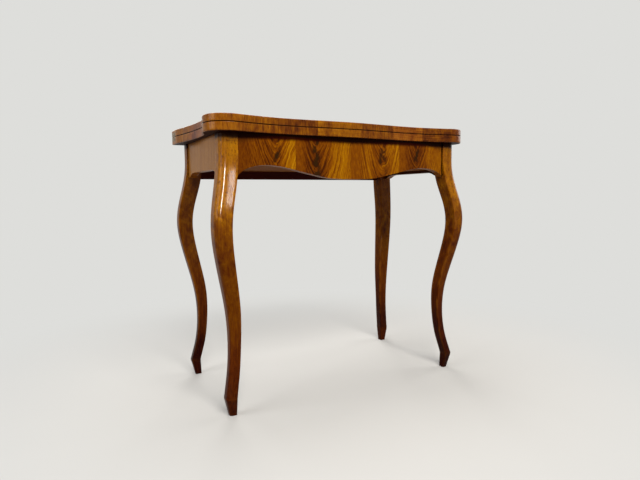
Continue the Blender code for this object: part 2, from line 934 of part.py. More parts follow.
swivel_axis = axis("swivel_axis", (pivot_x, pivot_y, lower_leaf_low))
link_axis = axis("link_axis", (0.0, pin_y, lower_pin_z), swivel_axis)
fold_axis = axis("fold_axis", (0.0, pin_y, upper_pin_z), link_axis)
pivot_pieces = [pivot_plate, pivot_bolt, pivot_washer, pivot_nut, turning_stop]
hang(swivel_axis, [lower_leaf, baize_lower, *pivot_pieces])
hang(swivel_axis, plate_screws + stop_screws + lower_hinge_pieces)
hang(link_axis, links)
hang(fold_axis, [upper_leaf, baize_upper] + upper_hinge_pieces)
bpy.context.view_layer.update()
print(f"frame {frame_height:.4f} high, leaves {2 * leaf_half:.3f} by {leaf_front + leaf_back:.3f}")
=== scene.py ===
# %% [markdown]
# # A fold-over card table
#
# The measured model of the table comes first and is never moved. Around it this
# lesson makes the camera, the light, smooth surfaces for the pieces whose curves
# matter most, and a finish for every piece of wood, cloth and metal.

import json
import math

import bpy
import numpy as np
from mathutils import Matrix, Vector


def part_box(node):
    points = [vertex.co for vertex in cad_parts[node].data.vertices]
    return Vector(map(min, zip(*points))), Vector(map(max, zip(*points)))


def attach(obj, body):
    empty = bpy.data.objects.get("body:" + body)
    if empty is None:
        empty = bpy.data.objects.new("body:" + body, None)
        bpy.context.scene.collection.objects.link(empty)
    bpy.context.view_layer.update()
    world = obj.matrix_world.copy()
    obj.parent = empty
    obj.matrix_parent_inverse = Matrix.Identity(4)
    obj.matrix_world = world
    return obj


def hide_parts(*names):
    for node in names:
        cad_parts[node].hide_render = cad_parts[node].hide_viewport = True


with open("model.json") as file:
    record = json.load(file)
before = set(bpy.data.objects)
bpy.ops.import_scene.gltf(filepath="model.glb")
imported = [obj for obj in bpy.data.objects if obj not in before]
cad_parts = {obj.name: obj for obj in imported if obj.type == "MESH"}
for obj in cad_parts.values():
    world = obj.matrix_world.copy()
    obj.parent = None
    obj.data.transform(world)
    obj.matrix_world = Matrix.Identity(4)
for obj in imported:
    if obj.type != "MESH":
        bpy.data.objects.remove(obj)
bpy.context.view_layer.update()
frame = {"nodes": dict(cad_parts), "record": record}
nodes = frame["nodes"]
bodies = frame["record"]["behaviour"]["bodies"]
print(f"{len(nodes)} pieces on {len(bodies)} bodies")

# %% [markdown]
# ## Camera
#
# The camera stands low and to the left, about a metre and a half off, and looks
# slightly down, so that the front, the left side and the edge of the top show.
# Its place was found by matching the outline of the table. A camera could aim at
# a target with a constraint, but a plain matrix keeps the small roll exact.

# %% Camera at the viewing angle
yaw, pitch, roll = (math.radians(angle) for angle in (28.486, 5.352, -0.599))
lens_millimetres = 27.56
camera_place = np.array([-0.7482, -1.3736, 0.5733])

ahead = np.array(
    [math.sin(yaw) * math.cos(pitch), math.cos(yaw) * math.cos(pitch), -math.sin(pitch)]
)
level = np.array([math.cos(yaw), -math.sin(yaw), 0.0])
over = np.cross(level, ahead)
right = math.cos(roll) * level + math.sin(roll) * over
up = math.cos(roll) * over - math.sin(roll) * level

turn = np.eye(4)
turn[:3, 0], turn[:3, 1], turn[:3, 2], turn[:3, 3] = right, up, -ahead, camera_place
camera = bpy.data.objects.new("camera", bpy.data.cameras.new("camera"))
camera.data.lens = lens_millimetres
camera.data.sensor_width = 36.0
camera.matrix_world = Matrix(turn.tolist())
bpy.context.scene.collection.objects.link(camera)
bpy.context.scene.camera = camera
print(f"camera {np.linalg.norm(camera_place[:2]):.2f} m from the middle of the table")

# %% [markdown]
# ## A small language for finishes
#
# A finish is a graph of nodes. Written out one link at a time it is hard to read,
# so a socket is wrapped in a class whose operators add Math nodes. A line such as
# `1 - grain * 0.4` then stands in the text just as it would on paper.

# %% Sockets that can be added and multiplied


class Wire:
    """An output socket. Arithmetic on it adds Math nodes to its recipe."""

    def __init__(self, recipe, socket):
        self.recipe = recipe
        self.socket = socket

    def math(self, operation, first, second):
        """One Math node on two values, each a wire or a plain number."""
        settings = {"operation": operation}
        return self.recipe.node("Math", settings, {0: first, 1: second})

    def __add__(self, other):
        return self.math("ADD", self, other)

    def __sub__(self, other):
        return self.math("SUBTRACT", self, other)

    def __rsub__(self, other):
        return self.math("SUBTRACT", other, self)

    def __mul__(self, other):
        return self.math("MULTIPLY", self, other)

    def __truediv__(self, other):
        return self.math("DIVIDE", self, other)

    def __pow__(self, other):
        return self.math("POWER", self, other)

    def __gt__(self, other):
        return self.math("GREATER_THAN", self, other)

    def __abs__(self):
        return self.math("ABSOLUTE", self, 0.0)

    __radd__ = __add__
    __rmul__ = __mul__


def shade(red, green, blue):
    """A colour named by its 0 to 255 screen values, turned into linear light."""
    parts = np.array([red, green, blue]) / 255.0
    linear = np.where(parts <= 0.04045, parts / 12.92, ((parts + 0.055) / 1.055) ** 2.4)
    return (*(float(part) for part in linear), 1.0)


print("walnut brown in linear light:", [round(part, 3) for part in shade(128, 70, 12)])

# %% [markdown]
# A material has a graph of nodes, and so has the world. One method, `node`, makes any
# node: settings first, because a Mix or a ramp changes its sockets with them, then
# numbers or links.

# %% Any node from one method


class Graph:
    """The nodes of a material or a world, and the shader that a material has."""

    def __init__(self, name, kind="materials"):
        self.owner = getattr(bpy.data, kind).new(name)
        self.owner.use_nodes = True
        self.tree = self.owner.node_tree
        self.shader = self.tree.nodes.get("Principled BSDF")

    def plug(self, socket, value):
        """Links a wire to a socket, or sets the socket to a plain value."""
        if isinstance(value, Wire):
            self.tree.links.new(value.socket, socket)
        else:
            socket.default_value = value

    def node(self, kind, settings=None, values=None, output=0):
        """Adds a node, sets it up, then fills its sockets. Gives one of its outputs."""
        made = self.tree.nodes.new("ShaderNode" + kind)
        for name, setting in (settings or {}).items():
            if name == "stops":
                self.stops(made.color_ramp, setting)
            else:
                setattr(made, name, setting)
        for key, value in (values or {}).items():
            self.plug(made.inputs[key], value)
        return Wire(self, made.outputs[output])

    def stops(self, ramp, stops):
        """Places and colours of a ramp, whose first stop can be moved but not removed."""
        for spare in list(ramp.elements)[1:]:
            ramp.elements.remove(spare)
        for index, (place, colour) in enumerate(stops):
            element = ramp.elements.new(place) if index else ramp.elements[0]
            element.position = place
            element.color = colour


print("any node comes from the method", Graph.node.__name__)

# %% [markdown]
# The nodes that nearly every finish uses get a plain word each, so that a finish
# reads like a recipe: a place, noise on it, masks that rise, colours on a ramp and a
# bump. A node group could hold such a set too, but words in Python can be combined
# in one line.

# %% Words for a recipe


class Recipe(Graph):
    """A finish, or the world's light, told in those words."""

    def place(self):
        """Object coordinates, in metres."""
        return self.node("TexCoord", output="Object")

    def along(self, name):
        """The piece's own coordinates, kept in a UV map."""
        return self.node("UVMap", {"uv_map": name})

    def parts(self, vector):
        """The three numbers of a vector."""
        outputs = self.node("SeparateXYZ", values={0: vector}).socket.node.outputs
        return [Wire(self, outputs[axis]) for axis in range(3)]

    def number(self, name):
        """A number that the piece carries at its points or faces."""
        return self.node("Attribute", {"attribute_name": name}, output="Fac")

    def wave(self, angle):
        """The sine of an angle."""
        return self.node("Math", {"operation": "SINE"}, {0: angle})

    def either(self, first, second):
        """The greater of two numbers, which joins two masks."""
        return self.node("Math", {"operation": "MAXIMUM"}, {0: first, 1: second})

    def vector(self, x, y, z):
        """Three numbers as one vector."""
        return self.node("CombineXYZ", values={0: x, 1: y, 2: z})

    def stretch(self, vector, scale):
        """A place times a scale, so that noise on it has a feature every 1 / scale metres."""
        return self.node("Mapping", values={"Vector": vector, "Scale": scale})

    def cloud(self, vector, scale=1.0, detail=3.0, roughness=0.55, twist=0.0):
        """Smooth noise about 0.5, mostly between 0 and 1."""
        values = {
            "Vector": vector,
            "Scale": scale,
            "Detail": detail,
            "Roughness": roughness,
            "Distortion": twist,
        }
        return (self.node("TexNoise", values=values) - 0.5) * 2.0 + 0.5

    def rise(self, value, low, high):
        """0 below low, 1 above high, and a smooth step between them."""
        settings = {"interpolation_type": "SMOOTHSTEP"}
        values = {"Value": value, "From Min": low, "From Max": high}
        return self.node("MapRange", settings, values)

    def ramp(self, value, *stops):
        """Colours along a value. A stop is its place, then red, green and blue, 0 to 255."""
        coloured = [(place, shade(*colour)) for place, *colour in stops]
        return self.node("ValToRGB", {"stops": coloured}, {0: value})

    def mix(self, factor, first, second):
        """The first colour at factor 0, the second at factor 1.

        A Mix node's sockets for colours are numbers 6 and 7, and its third output.
        """
        settings = {"data_type": "RGBA"}
        return self.node("Mix", settings, {0: factor, 6: first, 7: second}, output=2)

    def bump(self, height, distance):
        """A normal tilted by the slope of a height, which is worth `distance` metres."""
        return self.node("Bump", values={"Height": height, "Distance": distance})

    def finish(self, **values):
        """Sets the shader's sockets, with spaces written as underscores."""
        for name, value in values.items():
            self.plug(self.shader.inputs[name.replace("_", " ")], value)
        return self.owner


print("a recipe has", len([word for word in vars(Recipe) if word[0] != "_"]), "words")

# %% [markdown]
# ## Polished walnut
#
# Old walnut is a warm brown under a thin, hard, glossy polish. Three things give
# it life: long grain, cloudy patches where the colour deepens, and short dark
# pores. Each is noise, squeezed across the grain and stretched along it. A picture
# of wood would do the same for one board, but noise never repeats and has no seam.

# %% Grain and pores
CRESTS = (0.72, 0.92)


def along_grain(recipe, place, across, along, axis):
    """The place, counted in features that are `across` metres wide and `along` metres long."""
    scale = [1.0 / across] * 3
    scale[axis] = 1.0 / along
    return recipe.stretch(place, scale)


def grain(recipe, place, across, along, axis=2):
    """Noise with one feature size across the grain and another along it."""
    return recipe.cloud(along_grain(recipe, place, across, along, axis), detail=4.0, roughness=0.6)


def pores(recipe, place, across, along, axis=2):
    """Short dark ticks: the crests of a fine stretched noise."""
    ticks = recipe.cloud(along_grain(recipe, place, across, along, axis), detail=1.0, roughness=0.4)
    return recipe.rise(ticks, *CRESTS)


print("pores are the crests above", CRESTS[0])

# %% [markdown]
# The polish is a thin clear coat over a duller gloss, which shellac tints amber. A
# glossy shader alone would look like plastic, and two layers look like wood under a
# film. Two masks on the place paint light and shade: a nearly black painted shadow
# in the angle under the top, and a painted falloff of the light towards the right end.

# %% Polish, painted shadow and painted falloff
POLISH_ROUGHNESS = 0.15
AMBER = shade(255, 196, 104)
SHADOW_COLOUR = shade(34, 0, 0)
SHADOW_FROM, SHADOW_TO = 0.7105, 0.7195
SHADOW_WANDER = 0.002
LIT_END, SHADED_END = -0.20, 0.42


def polished(recipe, colour, relief, depth, roughness, coat, under=0.03):
    """An amber gloss, `under`, below a thin clear coat, both over a relief of some depth.

    A level face seen at a flat angle would mirror a whole softbox, so it has the coat alone.
    """
    return recipe.finish(
        Base_Color=colour,
        Roughness=roughness,
        Specular_IOR_Level=under,
        Specular_Tint=AMBER,
        Coat_Weight=coat,
        Coat_Roughness=POLISH_ROUGHNESS,
        Coat_IOR=1.5,
        Normal=recipe.bump(relief, depth),
    )


def painted_shadow(recipe, place):
    """Painted shadow in the angle under the top, with a wandering lower edge."""
    height = recipe.parts(place)[2]
    edge = recipe.cloud(place, scale=40.0, detail=3.0) - 0.5
    return recipe.rise(height + edge * SHADOW_WANDER, SHADOW_FROM, SHADOW_TO)


def painted_falloff(recipe, x):
    """Painted falloff of the light: 0 at the left end of the table, 1 at the darker right end."""
    return recipe.rise(x, LIT_END, SHADED_END)


print("grime from", SHADOW_FROM, "m up, polish of roughness", POLISH_ROUGHNESS)

# %% [markdown]
# The legs are solid walnut, honey coloured at the head and browner down the shin. The
# back legs are painted darker as the shade under the table, and a painted falloff darkens
# the right ones. Painting a map by hand could say where; here masks that rise from 0 to 1
# with height, depth or width say it in numbers, and one sum of them gives the tone.

# %% Where a leg is pale or dark
IN_LIGHT, IN_SHADE = -0.05, 0.10


def leg_tone(recipe, x, y, height):
    """Tone of a leg and its masks: a sum of rises along the table's three directions."""
    head = recipe.rise(height, 0.34, 0.60)
    foot = 1.0 - recipe.rise(height, 0.02, 0.30)
    knee = 1.0 - recipe.rise(abs(height - 0.46), 0.03, 0.12)
    shin = 1.0 - recipe.rise(height, 0.10, 0.38)
    back = recipe.rise(y, IN_LIGHT, IN_SHADE)
    front = 1.0 - back
    falloff_shade = painted_falloff(recipe, x)
    # Painted shade: back darkens the back legs, the falloff the right ones, and the third line
    # shapes the painted shade down the back right leg.
    tone = 0.38 + 0.25 * head - 0.25 * foot - 0.06 * falloff_shade
    tone = tone - 0.04 * back - 0.14 * back * head - 0.08 * back * (1.0 - falloff_shade) * (1.0 - head)
    tone = tone + (0.12 + 0.25 * foot - 0.27 * shin) * back * falloff_shade
    tone = tone - 0.06 * knee * front - 0.12 * foot * falloff_shade * front
    return tone, head, foot, knee


print("legs stand in the shade from", IN_SHADE, "m behind the middle")

# %% [markdown]
# The arrises that hands and brooms rub are paler. They follow a number called wear,
# which the leg's own surface carries. Another, called inner, marks the faces turned
# to the middle of the table, which are painted darker as shade and have less coat.

# %% Walnut of the legs
def leg_walnut():
    recipe = Recipe("leg_walnut")
    place = recipe.place()
    x, y, height = recipe.parts(place)
    tone, head, foot, knee = leg_tone(recipe, x, y, height)
    long_grain = grain(recipe, place, 0.0032, 0.070)
    cloud = recipe.cloud(recipe.stretch(place, (52, 52, 34)), detail=4.0, twist=0.6)
    broad = recipe.cloud(recipe.stretch(place, (14, 14, 6)), detail=2.0)
    inner = recipe.number("inner")
    # Painted shade on the faces turned to the middle of the table.
    tone = tone + 0.26 * (long_grain - 0.5) + 0.14 * (broad - 0.5) - 0.07 * inner
    tone = tone + (0.10 + 0.24 * head + 0.26 * knee) * (cloud - 0.5)
    colour = recipe.ramp(
        tone,
        (0.0, 38, 0, 0),
        (0.25, 84, 33, 0),
        (0.45, 119, 65, 0),
        (0.70, 158, 100, 0),
        (1.0, 186, 130, 8),
    )
    dashes = recipe.cloud(recipe.stretch(place, (240, 240, 110)), detail=3.0)
    flecks = recipe.rise(dashes, 0.52, 0.85) * (0.40 + 0.60 * head)
    colour = recipe.mix(flecks * 0.70, colour, shade(84, 38, 0))
    ticks = pores(recipe, place, 0.0011, 0.006)
    colour = recipe.mix(ticks * 0.40, colour, shade(44, 14, 0))
    patchy = recipe.rise(recipe.cloud(place, scale=30.0, detail=2.0), 0.20, 0.70)
    rubbed = recipe.number("wear") * patchy * (0.45 - 0.38 * foot)
    colour = recipe.mix(rubbed, colour, shade(150, 92, 26))
    # Painted shadow across the head of the leg, under the top, with a thinner coat there.
    dull = painted_shadow(recipe, place)
    colour = recipe.mix(dull * 0.97, colour, SHADOW_COLOUR)
    ripple = recipe.cloud(recipe.stretch(place, (190, 190, 110)), detail=3.0)
    coat = (0.08 + 0.18 * ripple) * (0.45 + 0.55 * head) * (1.0 - 0.8 * dull) * (1.0 - 0.8 * inner)
    relief = ticks * -1.0 + long_grain * 0.35
    return polished(recipe, colour, relief, 0.00012, 0.26 + 0.10 * cloud, coat)


walnut_leg = leg_walnut()
print(walnut_leg.name, len(walnut_leg.node_tree.nodes), "nodes")

# %% [markdown]
# ## Feathered veneer
#
# The front is laid with four leaves of veneer cut through a crotch, where the
# trunk forks. The fibres fan out from a dark heart, so the lines of the figure
# nest like the letter U. A number that is constant along such a line is
# `a (x^2 + r^2)^0.75 - z`, with x measured from the heart: within r of the heart
# its lines are round, and far from it they stand almost upright. Bands of noise
# on that number, slightly warped, draw the feather. The same rule, with wider
# bands, lays the top. Each leaf has its heart, its tone and its painted sheen in a list.

# %% Which leaf of veneer a point is on
APRON_JOINTS = (-0.336, -0.1755, -0.0041, 0.1673, 0.336)
HEART_SHARES = (0.65, 0.37, 0.645, 0.39)
LEAF_TONES = (0.30, 0.39, 0.44, 0.40)
LEAF_PAINTED_SHEENS = (0.42, 0.30, 0.22, 0.16)


def choose(x, joints, values):
    """A number for each stretch between joints: a sum of steps along x."""
    chosen = values[0]
    for joint, before, after in zip(joints[1:], values, values[1:]):
        chosen = (x > joint) * (after - before) + chosen
    return chosen


def hearts(joints):
    """Where each leaf's heart stands: a share of the way from joint to joint."""
    ends = zip(joints, joints[1:], HEART_SHARES)
    return [start + (end - start) * share for start, end, share in ends]


print("hearts at", [round(place, 3) for place in hearts(APRON_JOINTS)])

# %% [markdown]
# One function gives the fibre line, and one the tone of the veneer: broad bands, thin
# veins and fine fibres along the line, with a mottle over them. Towards its heart a
# leaf darkens, and towards its right joint it is painted lighter, as a painted sheen.

# %% The figure
HEART_ROUND = 0.010
HEART_OPENING = 10.5


def fibre_line(recipe, spot, from_heart, z):
    """The number that is constant along a fibre, the bent distance from the heart, and the warp."""
    warp = recipe.cloud(recipe.stretch(spot, (20, 20, 13)), detail=3.0) - 0.5
    wobble = recipe.cloud(recipe.stretch(spot, (120, 120, 40)), detail=2.0) - 0.5
    bent = from_heart + warp * 0.008
    curve = HEART_OPENING * (bent * bent + HEART_ROUND**2) ** 0.75
    return curve - z + wobble * 0.0030 + warp * 0.010, bent, warp


def feather(recipe, x, z, joints, spacing):
    """Tone of crotch veneer, from x across the leaves and z along the grain, in metres.

    Bands, veins and fibres are noise on the fibre line. Each side of each heart has
    a lane of its own in that noise, so that no two leaves are alike.
    """
    from_heart = x - choose(x, joints, hearts(joints))
    width = choose(x, joints, [end - start for start, end in zip(joints, joints[1:])])
    share = (x - choose(x, joints, joints[:-1])) / width
    number = choose(x, joints, (0.0, 1.0, 2.0, 3.0))
    spot = recipe.vector(x, number * 0.37, z)
    line, bent, warp = fibre_line(recipe, spot, from_heart, z)
    lane = number * 5.3 + (bent > 0.0) * 3.1
    banded = recipe.vector(line * (1.0 / spacing), lane, z * 6.0)
    bands = recipe.cloud(banded, detail=4.0, roughness=0.7)
    veined = recipe.vector(line * (1.8 / spacing), lane + 20.0, z * 9.0)
    veins = recipe.rise(recipe.cloud(veined, detail=2.0, roughness=0.6), 0.55, 0.80)
    fibres = recipe.cloud(recipe.vector(line * (5.0 / spacing), lane + 40.0, z * 30.0), detail=2.0)
    mottle = recipe.cloud(recipe.stretch(spot, (170, 170, 80)), detail=3.0)
    smudge = recipe.rise(recipe.cloud(recipe.stretch(spot, (75, 75, 42)), detail=4.0), 0.40, 0.75)
    heart = (1.0 - recipe.rise(abs(bent), 0.003, 0.017)) * smudge
    near = 1.0 - recipe.rise(abs(from_heart), 0.008, 0.055)
    figured = recipe.rise(share, 0.08, 0.26)
    # Painted sheen: each leaf lighter towards its right joint, by its own amount.
    painted_sheen = recipe.rise(share + warp * 0.2, 0.10, 0.95)
    tone = choose(x, joints, LEAF_TONES) + choose(x, joints, LEAF_PAINTED_SHEENS) * painted_sheen
    tone = tone + (0.12 + 0.62 * figured) * (bands - 0.5) + 0.20 * (fibres - 0.5)
    tone = tone + 0.20 * (mottle - 0.5) - 0.26 * figured * veins
    return tone - 0.20 * near - 0.34 * heart, heart, spot


print("lines are round within", HEART_ROUND, "m of a heart")

# %% [markdown]
# The front apron wears the figure over its softwood core. At its joint with the right
# leg a thin, nearly black line is painted: painted shade in the joint.

# %% Front veneer
JOINT_SHADE_FROM, JOINT_SHADE_TO = 0.3312, 0.3322


def figured_veneer():
    recipe = Recipe("figured_veneer")
    place = recipe.place()
    x, _, z = recipe.parts(place)
    tone, heart, spot = feather(recipe, x, z, APRON_JOINTS, 0.018)
    colour = recipe.ramp(
        tone,
        (0.0, 50, 16, 0),
        (0.25, 92, 42, 0),
        (0.48, 126, 68, 0),
        (0.70, 154, 97, 0),
        (1.0, 182, 126, 10),
    )
    colour = recipe.mix(heart * 0.70, colour, shade(44, 28, 4))
    ticks = pores(recipe, spot, 0.0010, 0.005)
    colour = recipe.mix(ticks * 0.35, colour, shade(66, 30, 0))
    # Painted shadow along the top of the veneer, under the overhang of the top.
    dull = painted_shadow(recipe, place)
    colour = recipe.mix(dull * 0.97, colour, SHADOW_COLOUR)
    # Painted shade: a thin, nearly black line at the joint with the right leg.
    joint_shade = recipe.rise(x, JOINT_SHADE_FROM, JOINT_SHADE_TO)
    colour = recipe.mix(joint_shade * 0.95, colour, shade(12, 3, 0))
    return polished(recipe, colour, ticks * -1.0, 0.00006, 0.30, 0.08 - 0.06 * dull)


walnut_figured = figured_veneer()
print(walnut_figured.name, len(walnut_figured.node_tree.nodes), "nodes")

# %% [markdown]
# ## Edges of the top
#
# Round the edge of each leaf of the top the veneer is laid in lengths of a hand's
# breadth, some upright and some along the edge, so its tone and its grain jump
# where two lengths meet. The edge keeps its own coordinates in a UV map: the
# distance round the outline and the height. Voronoi cells on the distance alone
# are the lengths of veneer, because each cell also gives three random numbers. One
# of them says whether a length's grain stands upright or lies along the edge.

# %% Grain of the edge
LAID_ALONG = (0.58, 0.60)


def edge_stripe(recipe, spot, turned):
    """Grain across the edge, or along it where the length of veneer is a turned one."""
    upright = recipe.cloud(recipe.stretch(spot, (240, 330, 26)), detail=4.0, roughness=0.65)
    lengthwise = recipe.cloud(recipe.stretch(spot, (20, 330, 420)), detail=4.0, roughness=0.65)
    laid_along = recipe.rise(turned, *LAID_ALONG)
    return upright + laid_along * (lengthwise - upright)


print(f"about {1 - LAID_ALONG[0]:.0%} of the lengths lie along the edge")

# %% [markdown]
# The other two numbers make a length lighter or darker, golden or red. A mask on the
# height from the seam darkens the groove where the leaves meet, with some dirt and with
# painted shade. The arrises are rubbed pale, and that paler band also paints a
# highlight along them.

# %% Edge veneer
SEAM = (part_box("lower_leaf")[1].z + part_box("upper_leaf")[0].z) / 2
GROOVE_DEEP, GROOVE_CLEAR = 0.0009, 0.0019
LENGTHS_PER_METRE = 9.0


def edge_walnut():
    recipe = Recipe("edge_walnut")
    run, height, _ = recipe.parts(recipe.along("edge"))
    settings = {"voronoi_dimensions": "1D"}
    values = {"W": run * LENGTHS_PER_METRE, "Scale": 1.0}
    cells = recipe.node("TexVoronoi", settings, values, output="Color")
    lightness, turned, redness = recipe.parts(cells)
    spot = recipe.vector(run, turned * 3.0, height)
    stripe = edge_stripe(recipe, spot, turned)
    patch = recipe.cloud(recipe.stretch(spot, (30, 30, 22)), detail=4.0, twist=0.5)
    smoky = recipe.rise(recipe.cloud(recipe.stretch(spot, (13, 13, 9)), detail=3.0), 0.62, 0.95)
    fine = recipe.cloud(recipe.stretch(spot, (900, 900, 90)), detail=1.0)
    # Painted falloff of the light: the right end of the edge is darker and less red.
    falloff_shade = painted_falloff(recipe, recipe.parts(recipe.place())[0])
    tone = 0.50 + 0.30 * (lightness - 0.5) + 0.44 * (stripe - 0.5) - 0.20 * falloff_shade
    tone = tone + 0.40 * (patch - 0.5) + 0.30 * (fine - 0.5) - 0.34 * smoky
    golden = recipe.ramp(
        tone,
        (0.0, 56, 18, 0),
        (0.30, 94, 44, 0),
        (0.55, 132, 76, 0),
        (1.0, 176, 118, 14),
    )
    reddish = recipe.ramp(
        tone,
        (0.0, 60, 16, 2),
        (0.35, 104, 42, 8),
        (1.0, 164, 94, 34),
    )
    reds = recipe.rise(redness, 0.55, 0.85) * (0.7 - 0.45 * falloff_shade)
    colour = recipe.mix(reds, golden, reddish)
    # The rubbed arrises are paler, and that paler band also paints a highlight along them.
    patchy = recipe.rise(recipe.cloud(spot, scale=70.0, detail=3.0), 0.45, 0.65)
    rubbed = recipe.number("wear") * patchy * 0.30
    colour = recipe.mix(rubbed, colour, shade(160, 104, 48))
    # Painted shade, with some dirt, in the groove at the seam between the leaves.
    seam_shade = 1.0 - recipe.rise(abs(height - SEAM), GROOVE_DEEP, GROOVE_CLEAR)
    colour = recipe.mix(seam_shade * 0.94, colour, shade(36, 10, 4))
    return polished(recipe, colour, stripe, 0.00004, 0.28, 0.20 * (1.0 - 0.8 * seam_shade))


walnut_edge = edge_walnut()
print(walnut_edge.name, len(walnut_edge.node_tree.nodes), "nodes")

# %% [markdown]
# ## The top's faces
#
# The upper face is laid with the same crotch veneer, four leaves side by side
# with the grain from front to back. The feather function already draws that, so
# the top only names its own joints and spreads the bands wider.

# %% Top veneer
TOP_JOINTS = (-0.4135, -0.2068, 0.0, 0.2068, 0.4135)


def top_veneer():
    recipe = Recipe("top_veneer")
    x, y, _ = recipe.parts(recipe.place())
    tone, heart, spot = feather(recipe, x, y, TOP_JOINTS, 0.030)
    colour = recipe.ramp(
        tone,
        (0.0, 66, 28, 0),
        (0.28, 98, 48, 2),
        (0.52, 126, 70, 4),
        (0.75, 150, 92, 10),
        (1.0, 178, 122, 28),
    )
    colour = recipe.mix(heart * 0.4, colour, shade(56, 34, 14))
    ticks = pores(recipe, spot, 0.0012, 0.007)
    colour = recipe.mix(ticks * 0.3, colour, shade(74, 38, 12))
    return polished(recipe, colour, ticks * -1.0, 0.00006, 0.26, 0.20, under=0.0)


walnut_top = top_veneer()
print(walnut_top.name, "on", len(TOP_JOINTS) - 1, "leaves")

# %% [markdown]
# The inner faces, seen once the table is opened, have a border of veneer round the
# playing cloth. Its grain runs outwards from the cloth on every side, so the pattern
# trades its two directions where the border turns a corner, with a clean mitre. The
# size of the cloth is read from the measured model, to a tenth of a millimetre.

# %% Border round the cloth
cloth_start, cloth_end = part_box("baize_upper")
CLOTH_HALF = round(cloth_end.x, 4)
CLOTH_FRONT, CLOTH_BACK = round(cloth_start.y, 4), round(cloth_end.y, 4)


def border_veneer():
    recipe = Recipe("border_veneer")
    x, y, z = recipe.parts(recipe.place())
    beside = abs(x) - CLOTH_HALF
    before = CLOTH_FRONT - y
    at_side = beside > before
    across = recipe.mix(at_side, recipe.vector(x, y, z), recipe.vector(y, x, z))
    stripe = recipe.cloud(recipe.stretch(across, (260, 12, 12)), detail=4.0, roughness=0.6)
    patch = recipe.cloud(recipe.stretch(across, (18, 7, 7)), detail=2.0)
    ticks = pores(recipe, across, 0.0012, 0.007, axis=1)
    tone = 0.48 + 0.34 * (stripe - 0.5) + 0.34 * (patch - 0.5) - 0.08 * at_side
    colour = recipe.ramp(
        tone,
        (0.0, 64, 28, 4),
        (0.35, 98, 54, 10),
        (0.65, 130, 80, 20),
        (1.0, 168, 116, 44),
    )
    colour = recipe.mix(ticks * 0.35, colour, shade(58, 30, 8))
    return polished(recipe, colour, ticks * -1.0, 0.00006, 0.30, 0.14, under=0.0)


walnut_border = border_veneer()
print(walnut_border.name, "round a cloth", 2 * CLOTH_HALF, "m long")

# %% [markdown]
# The underside of the top and the back of the frame are plain boards, rubbed with a
# dark stain, never polished, and painted darker still as the shade under the table. A
# stain sinks in unevenly, so broad blots lie over the grain, and what shine there is
# comes from the wood alone.

# %% Stained boards


def stained_board(name, dark, middle, light):
    """Long grain, plane marks and blots in three shades of one stain."""
    recipe = Recipe(name)
    place = recipe.place()
    streak = grain(recipe, place, 0.006, 0.22, axis=0)
    fine = grain(recipe, place, 0.0012, 0.03, axis=0)
    blot = recipe.cloud(place, scale=9.0, detail=3.0)
    tone = 0.5 + 0.34 * (streak - 0.5) + 0.16 * (fine - 0.5) + 0.24 * (blot - 0.5)
    return recipe.finish(
        Base_Color=recipe.ramp(tone, (0.1, *dark), (0.5, *middle), (0.95, *light)),
        Roughness=0.62 + 0.1 * (blot - 0.5),
        Specular_IOR_Level=0.12,
        Normal=recipe.bump(streak + 0.5 * fine, 0.0003),
    )


# Both stains are painted darker than the wood's own, as the shade under the table.
stained_shaded_underside = stained_board("stained_shaded_underside", (22, 2, 0), (42, 8, 0), (70, 24, 4))
stained_rail = stained_board("stained_rail", (34, 2, 0), (64, 12, 2), (96, 36, 12))
print(stained_shaded_underside.name, stained_rail.name)

# %% [markdown]
# ## Side aprons
#
# The side aprons are plainer walnut with straight upright grain. Their outer faces
# are polished, and their inner faces are stained and painted as dark as the shade
# under the table, which a mask on the distance from the middle tells apart. The
# front apron's core is lined with the same walnut under its arch, where it was never
# polished.

# %% Plain side walnut
INNER_FACE = round(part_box("apron_right")[0].x, 4)
STAINED_TO, CLEAN_FROM = INNER_FACE + 0.0002, INNER_FACE + 0.0012


def plain_walnut(name, coat, under, stained_and_shaded_inside):
    """Straight grain. The last number is 1 for a side apron, whose inner face it darkens with stain
    and painted shade, and 0 for the arch.
    """
    recipe = Recipe(name)
    place = recipe.place()
    streak = grain(recipe, place, 0.0030, 0.09)
    broad = grain(recipe, place, 0.022, 0.30)
    fine = grain(recipe, place, 0.0009, 0.02)
    ticks = pores(recipe, place, 0.0010, 0.006)
    tone = 0.88 + 0.40 * (streak - 0.5) + 0.22 * (broad - 0.5) + 0.30 * (fine - 0.5)
    colour = recipe.ramp(
        tone,
        (0.0, 58, 26, 4),
        (0.35, 98, 54, 8),
        (0.65, 130, 80, 20),
        (1.0, 164, 110, 44),
    )
    colour = recipe.mix(ticks * 0.4, colour, shade(60, 30, 8))
    # The inner face: stain, darkened further as painted shade.
    inside_stain_and_shade = 1.0 - recipe.rise(abs(recipe.parts(place)[0]), STAINED_TO, CLEAN_FROM)
    colour = recipe.mix(inside_stain_and_shade * 0.88 * stained_and_shaded_inside, colour, shade(46, 6, 2))
    relief = ticks * -1.0 + streak * 0.3
    return polished(recipe, colour, relief, 0.00012, 0.34, coat, under)


walnut_side = plain_walnut("side_walnut", 0.15, 0.03, 1.0)
arch_lining = plain_walnut("arch_lining", 0.0, 0.012, 0.0)
print(walnut_side.name, arch_lining.name)

# %% [markdown]
# ## Boards and blocks
#
# Inside the frame the boards and glue blocks are bare softwood, and the pivot rail
# and the stops are bare hardwood. Bare wood needs no coat: it has growth lines,
# patches of dust, and a high roughness. One recipe makes all of it, with other
# colours, ring widths and directions of the grain.

# %% Bare wood


